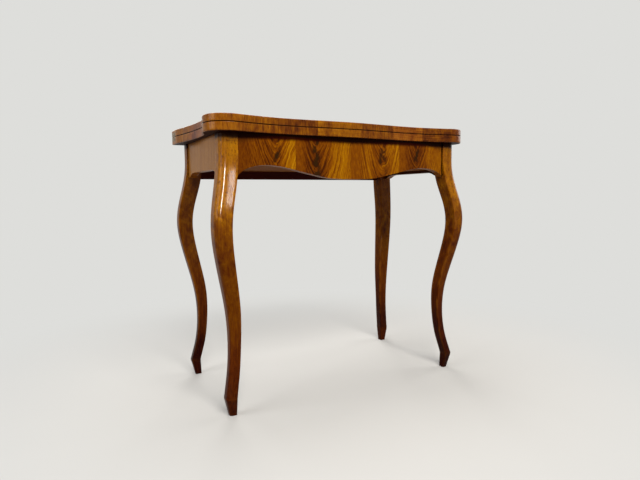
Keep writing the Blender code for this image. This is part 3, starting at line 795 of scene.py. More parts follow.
def bare_wood(name, dark, light, growth, axis):
    """Rings: the sine of a stretched noise, so that late wood ends in a sharper line."""
    recipe = Recipe(name)
    place = recipe.place()
    ring = grain(recipe, place, growth, 0.5, axis)
    fibre = grain(recipe, place, 0.0008, 0.03, axis)
    rows = recipe.rise(abs(recipe.wave(ring * 27.0)), 0.35, 1.0)
    dust = recipe.rise(recipe.cloud(place, scale=24.0, detail=4.0), 0.40, 1.0)
    tone = 0.25 + 0.35 * rows + 0.2 * (fibre - 0.5)
    colour = recipe.ramp(tone, (0.0, *light), (0.8, *dark))
    colour = recipe.mix(dust * 0.28, colour, shade(104, 88, 70))
    return recipe.finish(
        Base_Color=colour,
        Roughness=0.78 + 0.15 * (dust - 0.5),
        Specular_IOR_Level=0.12,
        Normal=recipe.bump(fibre + 0.4 * rows, 0.00025),
    )


softwood = bare_wood("raw_softwood", (114, 64, 18), (164, 108, 48), 0.020, 0)
softwood_upright = bare_wood("raw_softwood_upright", (114, 66, 22), (160, 110, 54), 0.012, 2)
hardwood = bare_wood("raw_hardwood", (104, 62, 34), (142, 98, 60), 0.009, 1)
print(softwood.name, softwood_upright.name, hardwood.name)

# %% [markdown]
# ## Playing cloth
#
# The cloth is a thin napped wool, glued flat. Its colour varies with wear: paler
# and browner in patches where elbows rest. A weave this fine is a bump, the product
# of two waves, and the nap is the shader's sheen, which stays the same all over.

# %% Green wool cloth
THREAD = 0.0011


def wool_cloth():
    recipe = Recipe("green_baize")
    place = recipe.place()
    x, y, _ = recipe.parts(place)
    per_thread = 2 * math.pi / THREAD
    weave = recipe.wave(x * per_thread) * recipe.wave(y * per_thread)
    nap = recipe.cloud(place, scale=900.0, detail=3.0, roughness=0.7)
    fuzz = recipe.cloud(recipe.stretch(place, (260, 420, 260)), detail=4.0)
    rubbed = recipe.rise(recipe.cloud(place, scale=7.0, detail=4.0), 0.35, 0.95)
    tone = 0.5 + 0.28 * (nap - 0.5) + 0.24 * (fuzz - 0.5) + 0.04 * weave
    colour = recipe.ramp(tone, (0.1, 12, 48, 28), (0.5, 24, 72, 44), (0.95, 50, 102, 66))
    colour = recipe.mix(rubbed * 0.20, colour, shade(84, 98, 58))
    return recipe.finish(
        Base_Color=colour,
        Roughness=0.92 + 0.06 * (rubbed - 0.5),
        Specular_IOR_Level=0.2,
        Sheen_Weight=0.16,
        Sheen_Roughness=0.5,
        Normal=recipe.bump(nap + 0.25 * weave + 0.6 * fuzz, 0.00035),
    )


baize = wool_cloth()
print(baize.name, len(baize.node_tree.nodes), "nodes")

# %% [markdown]
# ## Old brass and iron
#
# Hinge brass is bright in patches and brown between them. The pivot is black iron
# with a little rust. Both are metals whose roughness follows the tarnish, with fine
# scratches left by the file. A film of tarnish hides the metal, so where it lies
# the shader is also a little less metallic.

# %% Tarnished metals


def old_metal(name, bright, dull, spots, tarnish, metallic):
    """Bright metal under patches of dull film, with specks of a third colour."""
    recipe = Recipe(name)
    place = recipe.place()
    film = recipe.cloud(place, scale=160.0, detail=5.0, roughness=0.62)
    stain = recipe.cloud(place, scale=55.0, detail=3.0)
    scratch = recipe.cloud(recipe.stretch(place, (180, 180, 2600)), detail=2.0)
    speck = recipe.rise(recipe.cloud(place, scale=420.0, detail=2.0), 0.72, 0.90)
    covered = recipe.rise(film * 0.6 + stain * 0.4, 0.4 - tarnish * 0.3, 1.0 - tarnish * 0.3)
    colour = recipe.mix(covered, bright, dull)
    colour = recipe.mix(speck * 0.7, colour, spots)
    return recipe.finish(
        Base_Color=colour,
        Metallic=metallic - 0.35 * covered - 0.2 * speck,
        Roughness=0.26 + 0.30 * covered + 0.08 * (scratch - 0.5),
        Normal=recipe.bump(scratch * 0.5 + film, 0.00006),
    )


brass = old_metal("old_brass", shade(150, 122, 80), shade(84, 66, 44), shade(46, 38, 28), 0.6, 1.0)
iron = old_metal("dark_iron", shade(88, 84, 80), shade(52, 46, 42), shade(96, 54, 30), 0.7, 0.95)
print(brass.name, iron.name)

# %% [markdown]
# Each carried-over piece takes its finish through its material slot, and its mesh
# is left alone. A table of how names begin says which finish a piece has. The first
# beginning that fits is taken, so a turning stop's screws come before the stop.

# %% Finishes for the measured pieces
finishes = {
    "front_veneer": walnut_figured,
    "apron_left": walnut_side,
    "apron_right": walnut_side,
    "apron_back": stained_rail,
    "apron_front": arch_lining,
    "well_bottom": softwood,
    "well_divider": softwood,
    "corner_block": softwood_upright,
    "stop_block": hardwood,
    "pivot_rail": hardwood,
    "turning_stop_screw": iron,
    "turning_stop": hardwood,
    "pivot": iron,
    "plate_screw": iron,
    "hinge": brass,
}
dressed = {}
for name, node in nodes.items():
    match = [finish for start, finish in finishes.items() if name.startswith(start)]
    if match:
        node.data.materials.clear()
        node.data.materials.append(match[0])
        dressed[name] = match[0].name
print(len(dressed), "measured pieces dressed")

# %% [markdown]
# ## Surfaces from grids
#
# A leg and a leaf of the top are both a closed outline carried along a path, so
# one helper can skin them: rows of points become quads, and the first and last
# rows become flat caps.

# %% Skinning rows of points


def place_mesh(name, mesh):
    """A new piece with this mesh, at the origin of the scene."""
    piece = bpy.data.objects.new(name, mesh)
    bpy.context.scene.collection.objects.link(piece)
    return piece


def skin(name, rows, finish_list, wall_slot, cap_slots):
    """A closed mesh from rows of points, an array (rows, points, 3).

    Quad (r, i) joins points i and i + 1 of rows r and r + 1. Seen from the end of
    the path, the outline runs anticlockwise, so that the quads face outwards.
    """
    count_rows, count, _ = rows.shape
    index = np.arange(count_rows * count).reshape(count_rows, count)
    following = np.roll(index, -1, axis=1)
    quads = np.stack([index[:-1], following[:-1], following[1:], index[1:]], axis=-1)
    faces = [tuple(quad) for quad in quads.reshape(-1, 4).tolist()]
    faces += [tuple(index[0, ::-1].tolist()), tuple(index[-1].tolist())]
    mesh = bpy.data.meshes.new(name)
    mesh.from_pydata(rows.reshape(-1, 3).tolist(), [], faces)
    slots = np.full(len(faces), wall_slot, np.int32)
    slots[-2:] = cap_slots
    mesh.polygons.foreach_set("material_index", slots)
    for finish in finish_list:
        mesh.materials.append(finish)
    return place_mesh(name, mesh)


print("made helpers", place_mesh.__name__, "and", skin.__name__)

# %% [markdown]
# A finish can't see how worn a spot is, so a mesh carries such numbers in attributes.
# Shading is smooth, but edges next to a level face are kept crisp, which leaves the
# polish of a top perfectly flat. A Weighted Normal modifier comes close to that, but
# marking the edges sharp does it exactly.

# %% Numbers for the finishes, and smooth shading
CRISP_ANGLE = math.radians(38)
NEARLY_LEVEL = 0.9995


def keep_number(mesh, name, values, domain="POINT"):
    """Keeps a number from 0 to 1 at each point or face, for a finish to read."""
    attribute = mesh.attributes.new(name, "FLOAT", domain)
    attribute.data.foreach_set("value", values.astype(np.float32).ravel())


def soften(mesh):
    """Smooth shading, but crisp where faces meet at an angle or one of them lies level."""
    faces, corners = len(mesh.polygons), len(mesh.loops)
    normals = np.zeros(faces * 3, np.float32)
    mesh.polygons.foreach_get("normal", normals)
    flat = np.abs(normals.reshape(-1, 3)[:, 2]) > NEARLY_LEVEL
    sizes, edges = np.zeros(faces, np.int32), np.zeros(corners, np.int32)
    mesh.polygons.foreach_get("loop_total", sizes)
    mesh.loops.foreach_get("edge_index", edges)
    mesh.shade_smooth()
    mesh.set_sharp_from_angle(angle=CRISP_ANGLE)
    sharp = np.zeros(len(mesh.edges), bool)
    mesh.edges.foreach_get("use_edge_sharp", sharp)
    touches = np.zeros(len(mesh.edges), bool)
    touches[edges[np.repeat(flat, sizes)]] = True
    mesh.edges.foreach_set("use_edge_sharp", sharp | touches)


print("faces stay crisp where they meet at over", round(math.degrees(CRISP_ANGLE)), "degrees")

# %% [markdown]
# ## Legs
#
# Each leg is sawn from one block. Its section is a square whose outer corner is
# rounded by 0.44 of its width, and the corner swings out at the knee and back in
# at the shin. Two curves of height say how far it stands out and how wide it is,
# and they pass through a few stations, as a maker would mark them on a template.
# The foot below is a straight taper. The legs end level with the aprons, whose
# height the measured model gives.

# %% Stations of a leg
FRAME_HEIGHT = round(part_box("apron_front")[1].z, 4)
HALF_LENGTH = 0.382
HALF_DEPTH = 0.193
HEAD = 0.046
KNEE = 0.025
FOOT_HEIGHT = 0.047
FOOT = FOOT_HEIGHT / FRAME_HEIGHT

# Height share, reach outwards as a share of the knee's, width as a share of the head's
STATIONS = np.array(
    [
        (FOOT, 0.07, 0.62),
        (0.102, -0.18, 0.605),
        (0.141, -0.42, 0.600),
        (0.205, -0.67, 0.600),
        (0.283, -0.74, 0.640),
        (0.377, -0.51, 0.735),
        (0.472, 0.04, 0.820),
        (0.567, 0.64, 0.890),
        (0.662, 1.00, 0.940),
        (0.740, 0.83, 0.970),
        (0.818, 0.37, 1.0),
        (0.900, 0.03, 1.0),
        (0.950, 0.0, 1.0),
        (1.0, 0.0, 1.0),
    ]
)
SOLE_REACH, SOLE_WIDTH = -0.38, 0.40
print(len(STATIONS), "stations above the foot")

# %% [markdown]
# A natural cubic spline is the curve of a thin lath bent past nails. A curve object
# could be bent through the stations too, but in numpy one function gives the curve
# at all heights at once, and the leg becomes a grid of height by way round.

# %% Smooth curves through the stations


def through(places, values, wanted):
    """The natural cubic spline: slope and bend run on unbroken across the stations.

    Between two stations, with t from 0 to 1, it is the straight line between them,
    plus a sixth of their distance squared times (t^3 - t) of the far station's bend
    and the same, in 1 - t, of the near one's. The bends solve one linear system.
    """
    width = np.diff(places)
    slope = np.diff(values) / width
    system = np.diag(np.r_[1.0, 2 * (width[:-1] + width[1:]), 1.0])
    system += np.diag(np.r_[0.0, width[1:]], 1) + np.diag(np.r_[width[:-1], 0.0], -1)
    bend = np.linalg.solve(system, np.r_[0.0, 6 * np.diff(slope), 0.0])
    low = np.clip(np.searchsorted(places, wanted) - 1, 0, len(places) - 2)
    t = (wanted - places[low]) / width[low]
    straight = values[low] * (1 - t) + values[low + 1] * t
    near, far = ((1 - t) ** 3 - (1 - t)) * bend[low], (t**3 - t) * bend[low + 1]
    return straight + width[low] ** 2 / 6 * (near + far)


def leg_curves(heights):
    """(reach, width) in metres: through the stations above the foot, straight below."""
    share = heights / FRAME_HEIGHT
    above = np.maximum(share, FOOT)
    down = np.clip(1.0 - share / FOOT, 0.0, 1.0)
    reach = through(STATIONS[:, 0], STATIONS[:, 1], above)
    width = through(STATIONS[:, 0], STATIONS[:, 2], above)
    reach = reach + down * (SOLE_REACH - STATIONS[0, 1])
    width = width + down * (SOLE_WIDTH - STATIONS[0, 2])
    return reach * KNEE, width * HEAD


print("knee stands out", round(float(leg_curves(np.array([0.482]))[0][0]), 4), "m")

# %% [markdown]
# The way round a section is kept as shares of its width, so that one section serves
# the whole leg. A modifier could bevel the corners, but arcs worked out here give
# the wide outer round and the three small arrises at once, and say which points are
# on an arris, so that the finish can wear there.

# %% The section
ARRIS = 0.0012
CORNER = 0.44
CORNER_POINTS, ARRIS_POINTS = 15, 4
SIDE_PIECES = 4


def quarter(start, steps):
    """Angles of a quarter turn, in radians."""
    return np.radians(np.linspace(start, start + 90.0, steps))


def leg_section():
    """Way round a section, as x = corner + a * width + b * arris, and the same for y.

    The outer corner is an arc of 0.44 of the width; the other three are small arcs.
    """
    wide = quarter(0, CORNER_POINTS)
    share = [CORNER * np.stack([np.cos(wide) - 1, np.sin(wide) - 1], axis=1)]
    extra = [np.zeros((CORNER_POINTS, 2))]
    corners = [((-1, 0), (1, -1), 90), ((-1, -1), (1, 1), 180), ((0, -1), (-1, 1), 270)]
    for corner, inward, start in corners:
        angles = quarter(start, ARRIS_POINTS)
        arc = np.stack([np.cos(angles), np.sin(angles)], axis=1)
        share.append(np.tile(np.array(corner, float), (ARRIS_POINTS, 1)))
        extra.append(arc + np.array(inward, float))
    return np.concatenate(share), np.concatenate(extra)


def fill_sides(ring_share, ring_extra):
    """Adds points on the straight sides, so that the quads stay even.

    Also gives 1 for each point on an arris and 0 for the others.
    """
    gaps = np.roll(ring_share, -1, axis=0) - ring_share
    long_side = np.hypot(gaps[:, 0], gaps[:, 1]) > 0.2
    steps = np.where(long_side, SIDE_PIECES, 1)
    start = np.repeat(np.arange(len(steps)), steps)
    first = np.cumsum(steps) - steps
    t = ((np.arange(steps.sum()) - first[start]) / steps[start])[:, None]
    after = (start + 1) % len(steps)
    share = ring_share[start] * (1 - t) + ring_share[after] * t
    extra = ring_extra[start] * (1 - t) + ring_extra[after] * t
    on_arris = (start >= CORNER_POINTS) & (t[:, 0] == 0.0)
    return share, extra, on_arris.astype(float)


print("way round a leg", len(fill_sides(*leg_section())[0]), "points")

# %% [markdown]
# The edge where the foot begins is sharp on paper and soft in wood. A mean over
# nearby levels, weighted by a bell curve, eases it, and the levels lie closer
# together there.

# %% Levels of a leg
LEVELS = 170
FOOT_EDGE = 0.004
FOOT_EDGE_LEVELS = 9
EASE = 0.0012
EASED_FROM_END = 0.010


def leg_heights():
    """Levels up the leg, closer together round the edge of the foot."""
    even = np.linspace(0.0, FRAME_HEIGHT, LEVELS)
    close = FOOT_HEIGHT + np.linspace(-FOOT_EDGE, FOOT_EDGE, FOOT_EDGE_LEVELS)
    return np.unique(np.concatenate([even, close]).round(6))


def eased(values, heights):
    """A weighted mean over nearby levels, which fades out towards the two ends."""
    weights = np.exp(-0.5 * ((heights[:, None] - heights[None, :]) / EASE) ** 2)
    weights *= np.gradient(heights)[None, :]
    mean = (weights @ values) / weights.sum(axis=1)
    share = np.clip(np.minimum(heights, FRAME_HEIGHT - heights) / EASED_FROM_END, 0.0, 1.0)
    return values + (mean - values) * share


print("levels up a leg", len(leg_heights()))

# %% [markdown]
# The four legs are one grid, mirrored. A Mirror modifier would keep them in one
# piece, but each leg is a part of its own. Where one mirror turns the way round
# about, the order of the points is turned back, so that the faces look outwards.

# %% The four legs
legs_alone = bpy.data.collections.new("legs_alone")


def make_leg(name, side_x, side_y):
    """Grid of height by way round, mirrored to its corner of the table.

    A point is the frame's corner, moved out by the reach at its height, plus its share
    of the width there and its share of the arris. The leg's top end is bare wood.
    """
    heights = leg_heights()
    reach, width = (eased(values, heights) for values in leg_curves(heights))
    share, extra, wear = fill_sides(*leg_section())
    corner = np.array([HALF_LENGTH, HALF_DEPTH]) + reach[:, None, None]
    plan = corner + share[None] * width[:, None, None] + extra[None] * ARRIS
    rows = np.empty((len(heights), len(share), 3))
    rows[..., 0], rows[..., 1] = side_x * plan[..., 0], side_y * plan[..., 1]
    rows[..., 2] = heights[:, None]
    faces_middle = share[:, 0] < -0.999
    if side_x * side_y < 0:
        rows, wear, faces_middle = rows[:, ::-1], wear[::-1], faces_middle[::-1]
    leg = skin(name, rows, [walnut_leg, hardwood], 0, (0, 1))
    low = np.exp(-((heights - FOOT_HEIGHT) ** 2) / (2 * FOOT_EDGE**2))
    keep_number(leg.data, "wear", np.maximum(wear[None, :], 0.7 * low[:, None]))
    # The faces turned to the middle of the table get the painted shade of the number inner.
    inner = faces_middle & np.roll(faces_middle, -1)
    per_face = np.append(np.tile(inner, len(heights) - 1), (0, 0))
    keep_number(leg.data, "inner", per_face, "FACE")
    soften(leg.data)
    return leg


for end, side_y in (("front", -1), ("back", 1)):
    for hand, side_x in (("left", -1), ("right", 1)):
        piece = make_leg(f"cabriole_leg_{end}_{hand}", side_x, side_y)
        legs_alone.objects.link(piece)
        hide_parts(f"leg_{end}_{hand}")
        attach(piece, "frame")
        print(piece.name, len(piece.data.polygons), "faces")

# %% [markdown]
# ## The outline of the top
#
# Both leaves share one outline: square corners at the back, sides that sweep in,
# a round lobe at each front corner and a front that bows. Its stations are shares
# of a few sizes, so the sweep of a side or of the front is one number.

# %% Stations of the outline
leaf_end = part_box("upper_leaf")[1]
LEAF_HALF, LEAF_BACK = round(leaf_end.x, 4), round(leaf_end.y, 4)
LEAF_FRONT = 0.218
LOBE, FRONT_SWEEP, SIDE_SWEEP, SIDE_FLAT = 0.053, 0.021, 0.019, 0.048
FRONT_SHARES = ((0.80, 0.24), (0.70, 0.62), (0.56, 0.97), (0.42, 1.0), (0.22, 0.78), (0.0, 0.56))
SIDE_SHARES = ((0.30, 0.45), (0.60, 1.0), (0.80, 0.93))


def outline_stations():
    """Stations of the right half from back to front, then mirrored for the left.

    A station of the side stands a share of the way from the back to the lobe, and one of
    the front at a share of the half length. Each is drawn in by a share of its sweep.
    """
    lobe_y = -LEAF_FRONT + LOBE
    half = [(LEAF_HALF, LEAF_BACK), (LEAF_HALF, LEAF_BACK - SIDE_FLAT)]
    half += [
        (LEAF_HALF - sweep * SIDE_SWEEP, LEAF_BACK + (lobe_y - LEAF_BACK) * way)
        for way, sweep in SIDE_SHARES
    ]
    centre = np.array([LEAF_HALF - LOBE, lobe_y])
    for angle in (0.0, -45.0, -90.0):
        a = math.radians(angle)
        half.append(tuple(centre + LOBE * np.array([math.cos(a), math.sin(a)])))
    half += [
        (share * LEAF_HALF, -LEAF_FRONT + sweep * FRONT_SWEEP) for share, sweep in FRONT_SHARES
    ]
    right_half = np.array(half)
    return np.concatenate([right_half, right_half[-2::-1] * np.array([-1.0, 1.0])])


print("stations round a leaf", len(outline_stations()))

# %% [markdown]
# A Bezier curve runs through the stations. Each free handle lies along the mean of
# the two chord directions and is about 0.39 of its own chord long, which is how a
# drawing program's automatic handles behave. Worked out in numpy, the curve needs
# no object of its own, and both leaves and their UV maps use the same points.

# %% The curve round a leaf
CHORD_PER_HANDLE = 2.5614


def outline(steps):
    """Points on the closed curve, clockwise from the back right corner.

    Between two stations it is the cubic Bezier curve: the stations and their two
    handles, weighted by (1-t)^3, 3(1-t)^2 t, 3(1-t) t^2 and t^3.
    """
    points = outline_stations()
    before, after = np.roll(points, 1, axis=0), np.roll(points, -1, axis=0)
    back_length = np.linalg.norm(points - before, axis=1, keepdims=True)
    next_length = np.linalg.norm(after - points, axis=1, keepdims=True)
    lean = (points - before) / back_length + (after - points) / next_length
    lean /= np.linalg.norm(lean, axis=1, keepdims=True) * CHORD_PER_HANDLE
    arriving, leaving = points - lean * back_length, points + lean * next_length
    for corner in (0, -1):
        arriving[corner] = points[corner] + (before[corner] - points[corner]) / 3
        leaving[corner] = points[corner] + (after[corner] - points[corner]) / 3
    flat = np.array([0.0, SIDE_FLAT / 3])
    arriving[1], leaving[1] = points[1] + flat, points[1] - flat
    arriving[-2], leaving[-2] = points[-2] - flat, points[-2] + flat
    t = np.linspace(0.0, 1.0, steps, endpoint=False)[None, :, None]
    curve = (1 - t) ** 3 * points[:, None] + 3 * (1 - t) ** 2 * t * leaving[:, None]
    curve = curve + 3 * (1 - t) * t**2 * np.roll(arriving, -1, axis=0)[:, None]
    curve = curve + t**3 * after[:, None]
    return curve.reshape(-1, 2)


OUTLINE = outline(10)
print("outline", OUTLINE.min(axis=0).round(4), OUTLINE.max(axis=0).round(4))

# %% [markdown]
# A leaf's wall is the outline at each level, drawn in by a quarter circle at the
# upper and lower arris. To draw in a corner evenly, a point moves along the sum of
# its two edge normals, divided by one plus their product. The closed leaves of the
# measured model leave a gap for the hinges to work. Here the gap is narrowed, half
# from each leaf, so that no light shows through it.

# %% Rows of a leaf
LEAF_ARRIS = 0.0022
ARRIS_ROWS = 8
WALL_ROWS = 3


def outward_normals(points):
    """Mitred normals of a clockwise closed outline."""
    ahead_of = np.roll(points, -1, axis=0) - points
    ahead_of /= np.linalg.norm(ahead_of, axis=1, keepdims=True)
    normal = np.stack([-ahead_of[:, 1], ahead_of[:, 0]], axis=1)
    behind = np.roll(normal, 1, axis=0)
    return (normal + behind) / (1.0 + (normal * behind).sum(axis=1, keepdims=True))


def leaf_rows(low, high):
    """Rows from the lower face's border up the rounded edge to the upper face's.

    Through an arris, a row is drawn in by 1 - sine and raised by 1 - cosine of an angle
    that goes through a quarter turn, both times the arris's radius.
    """
    bend = quarter(0, ARRIS_ROWS)
    draw_in = LEAF_ARRIS * (1 - np.sin(bend))
    climb = LEAF_ARRIS * (1 - np.cos(bend))
    walls = np.linspace(low + LEAF_ARRIS, high - LEAF_ARRIS, WALL_ROWS + 2)[1:-1]
    levels = np.concatenate([low + climb, walls, (high - climb)[::-1]])
    inset = np.concatenate([draw_in, np.zeros(WALL_ROWS), draw_in[::-1]])
    normals = outward_normals(OUTLINE)
    rows = np.empty((len(levels), len(OUTLINE), 3))
    rows[..., :2] = OUTLINE[None] - normals[None] * inset[:, None, None]
    rows[..., 2] = levels[:, None]
    return rows[:, ::-1]


print("rows in a leaf's wall", 2 * ARRIS_ROWS + WALL_ROWS)

# %% [markdown]
# The veneer on the edge follows the outline, so its finish reads a UV map. Unwrapping
# could make one, but here each corner's distance round the outline is known. The
# last quad closes the ring: its far corners get the whole length, not zero.

# %% Coordinates along the edge


def map_edge(mesh, rows):
    """UV map "edge": the distance round the outline and the height, in metres."""
    count_rows, count, _ = rows.shape
    middle = rows[count_rows // 2, :, :2]
    steps = np.linalg.norm(np.roll(middle, -1, axis=0) - middle, axis=1)
    run = np.concatenate([[0.0], np.cumsum(steps)])
    corners = np.zeros(len(mesh.loops), np.int32)
    mesh.loops.foreach_get("vertex_index", corners)
    along = run[corners % count]
    walls = (count_rows - 1) * count * 4
    quad_corner = np.arange(walls) % 4
    column = (np.arange(walls) // 4) % count
    wraps = (column == count - 1) & ((quad_corner == 1) | (quad_corner == 2))
    along[:walls][wraps] = run[-1]
    uv = np.stack([along, rows.reshape(-1, 3)[corners, 2]], axis=1)
    layer = mesh.uv_layers.new(name="edge")
    layer.data.foreach_set("uv", uv.astype(np.float32).ravel())


way_round = np.linalg.norm(np.diff(OUTLINE, axis=0, append=OUTLINE[:1]), axis=1).sum()
print("way round a leaf", round(float(way_round), 3), "m")

# %% [markdown]
# The lower leaf is the thicker one. Its inner face and the upper leaf's wear the
# border veneer, and only the upper leaf's outer face, the top of the closed table,
# wears the feathered one. The arrises are rubbed, most of all 0.6 mm from the face,
# and their paler band also paints a highlight along them.

# %% The two leaves
CLOSED_GAP = 0.0002
RUBBED_DEPTH, RUBBED_SPREAD = 0.0006, 0.0008


def make_leaf(name, low, high, faces):
    """A leaf: its edge in slot 0, its lower and upper faces in 1 and 2, its core in 3.

    Wear is a bell curve on the height from the nearer face.
    """
    rows = leaf_rows(low, high)
    leaf = skin(name, rows, [walnut_edge, *faces, softwood], 0, (1, 2))
    height = rows[..., 2]
    near_face = np.minimum(height - low, high - height)
    wear = np.exp(-((near_face - RUBBED_DEPTH) ** 2) / (2 * RUBBED_SPREAD**2))
    keep_number(leaf.data, "wear", wear)
    map_edge(leaf.data, rows)
    return leaf


box_of_lower, box_of_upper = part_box("lower_leaf"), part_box("upper_leaf")
lower_low, upper_high = box_of_lower[0].z, box_of_upper[1].z
nearer = (box_of_upper[0].z - box_of_lower[1].z - CLOSED_GAP) / 2
lower_high, upper_low = box_of_lower[1].z + nearer, box_of_upper[0].z - nearer
lower_leaf = make_leaf("leaf_lower", lower_low, lower_high, [stained_shaded_underside, walnut_border])
upper_leaf = make_leaf("leaf_upper", upper_low, upper_high, [walnut_border, walnut_top])
print(f"leaves {lower_high - lower_low:.4f} and {upper_high - upper_low:.4f} m thick")

# %% [markdown]
# ## Pockets
#
# The hinges, the pivot plate and the cloth are let into the leaves. A pocket is
# the piece's own box, a hair larger, taken away with a Boolean whose result is
# made final at once. A grid with holes would also do, but the cutters follow the
# measured pieces by themselves. Pocket walls show the bare core.

# %% Cutters
HAIR = 0.0003
OVERCUT = 0.004
CORE_SLOT = 3


def prism(name, ring, low, high):
    """An outline, anticlockwise from above, carried from one level to another."""
    rows = np.empty((2, len(ring), 3))
    rows[:, :, :2] = ring[None]
    rows[:, :, 2] = np.array([[low], [high]])
    return skin(name, rows, [softwood] * (CORE_SLOT + 1), CORE_SLOT, (CORE_SLOT, CORE_SLOT))


def block(name, xs, ys, zs):
    """A box cutter between two places in each direction, the lower one first."""
    ring = np.array([(xs[0], ys[0]), (xs[1], ys[0]), (xs[1], ys[1]), (xs[0], ys[1])])
    return prism(name, ring, *zs)


def carve(piece, cutters):
    """Takes the cutters away from the piece, for good, and removes them."""
    for cutter in cutters:
        step = piece.modifiers.new(cutter.name, "BOOLEAN")
        step.operation, step.object, step.solver = "DIFFERENCE", cutter, "EXACT"
    graph = bpy.context.evaluated_depsgraph_get()
    final = bpy.data.meshes.new_from_object(piece.evaluated_get(graph))
    piece.modifiers.clear()
    piece.data = final
    for cutter in cutters:
        bpy.data.objects.remove(cutter, do_unlink=True)
    soften(final)


print("a pocket is", HAIR, "m larger than its piece")

# %% [markdown]
# The cloth is cut square at the hinges and round at the two front corners. Its
# outline, grown by a hair, is the outline of its pocket.

# %% Outline of the cloth
CLOTH_CORNER = 0.040
CLOTH_CORNER_POINTS = 12


def cloth_ring(grow):
    """Outline of the cloth: square at the hinges, round at the two front corners."""
    half, radius = CLOTH_HALF + grow, CLOTH_CORNER + grow
    front, back = CLOTH_FRONT - grow, CLOTH_BACK + grow
    arcs = []
    for side, start in ((-1, 180), (1, 270)):
        angles = quarter(start, CLOTH_CORNER_POINTS)
        x = side * (half - radius) + radius * np.cos(angles)
        y = front + radius + radius * np.sin(angles)
        arcs.append(np.stack([x, y], axis=1))
    return np.concatenate([*arcs, [(half, back), (-half, back)]])


print("cloth outline", len(cloth_ring(0.0)), "points")

# %% [markdown]
# A hinge plate is let into the end of a leaf at its back corner. The link that joins
# two plates lies just inside them, in a deeper notch that is open at the back, so
# that it can swing. The cloth's recess is a hair deeper than the cloth is thick, and
# the cloth lies level with the border.

# %% Cutting the leaves
LINK_NOTCH = 0.0062
CLOTH_THICKNESS = round(cloth_end.z - cloth_start.z, 4)


def end_cutters(word, zs_of_notch):
    """Pockets for a leaf's two hinge plates and the notches beside them for the links."""
    below, above = (HAIR, OVERCUT) if word == "lower" else (OVERCUT, HAIR)
    cutters = []
    for hand, side in (("left", -1), ("right", 1)):
        start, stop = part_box(f"hinge_plate_{word}_{hand}")
        inner = min(abs(start.x), abs(stop.x)) - HAIR
        xs = sorted((side * inner, side * (LEAF_HALF + OVERCUT)))
        ys = (start.y - HAIR, LEAF_BACK + OVERCUT)
        zs = (start.z - below, stop.z + above)
        cutters.append(block(f"pocket_{word}_{hand}", xs, ys, zs))
        start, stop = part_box(f"hinge_link_{hand}")
        deep = min(abs(start.x), abs(stop.x)) - HAIR
        xs = sorted((side * deep, side * (inner + OVERCUT)))
        ys = (LEAF_BACK - LINK_NOTCH, LEAF_BACK + OVERCUT)
        cutters.append(block(f"notch_{word}_{hand}", xs, ys, zs_of_notch))
    return cutters


recess = CLOTH_THICKNESS + HAIR
ring = cloth_ring(HAIR)
plate_low, plate_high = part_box("pivot_plate")
plate_xs = (plate_low.x - HAIR, plate_high.x + HAIR)
plate_ys = (plate_low.y - HAIR, plate_high.y + HAIR)
plate_zs = (lower_low - OVERCUT, plate_high.z + HAIR)

lower_cutters = end_cutters("lower", (lower_high - LINK_NOTCH, lower_high + OVERCUT))
lower_cutters.append(prism("cloth_pocket_lower", ring, lower_high - recess, lower_high + OVERCUT))
lower_cutters.append(block("plate_pocket", plate_xs, plate_ys, plate_zs))
carve(lower_leaf, lower_cutters)
upper_cutters = end_cutters("upper", (upper_low - OVERCUT, upper_low + LINK_NOTCH))
upper_cutters.append(prism("cloth_pocket_upper", ring, upper_low - OVERCUT, upper_low + recess))
carve(upper_leaf, upper_cutters)

for leaf, node in ((lower_leaf, "lower_leaf"), (upper_leaf, "upper_leaf")):
    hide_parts(node)
    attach(leaf, node)
    print(leaf.name, len(leaf.data.polygons), "faces")

# %% [markdown]
# ## The two cloths
#
# Each leaf's inner face carries one piece of cloth, cut to its recess and glued
# down flat. It is a sheet, so its surface is a grid: across the table by front
# to back, with the front edge bent round the two corners. A closed rim gives it
# its millimetre of thickness.

# %% Points of a cloth
CORNER_COLUMNS, MIDDLE_COLUMNS, CLOTH_ROWS = 14, 60, 30


def cloth_points():
    """(x, y) on a grid of front to back by across, closer together in the corners.

    The front border is straight, and then a quarter circle: the radius less the root
    of its square without the square of the way into the corner.
    """
    straight = CLOTH_HALF - CLOTH_CORNER
    bend = CLOTH_HALF - CLOTH_CORNER * (1 - np.sin(quarter(0, CORNER_COLUMNS)))
    middle = np.linspace(-straight, straight, MIDDLE_COLUMNS)[1:-1]
    across = np.concatenate([-bend[::-1], middle, bend])
    into_corner = np.maximum(np.abs(across) - straight, 0.0)
    drop = np.sqrt(np.maximum(CLOTH_CORNER**2 - into_corner**2, 0.0))
    front = CLOTH_FRONT + CLOTH_CORNER - drop
    share = np.linspace(0.0, 1.0, CLOTH_ROWS)[:, None]
    y = front + (CLOTH_BACK - front) * share
    return np.broadcast_to(across, y.shape), y


print("points on a cloth's face", cloth_points()[1].size)

# %% Cloth on a leaf


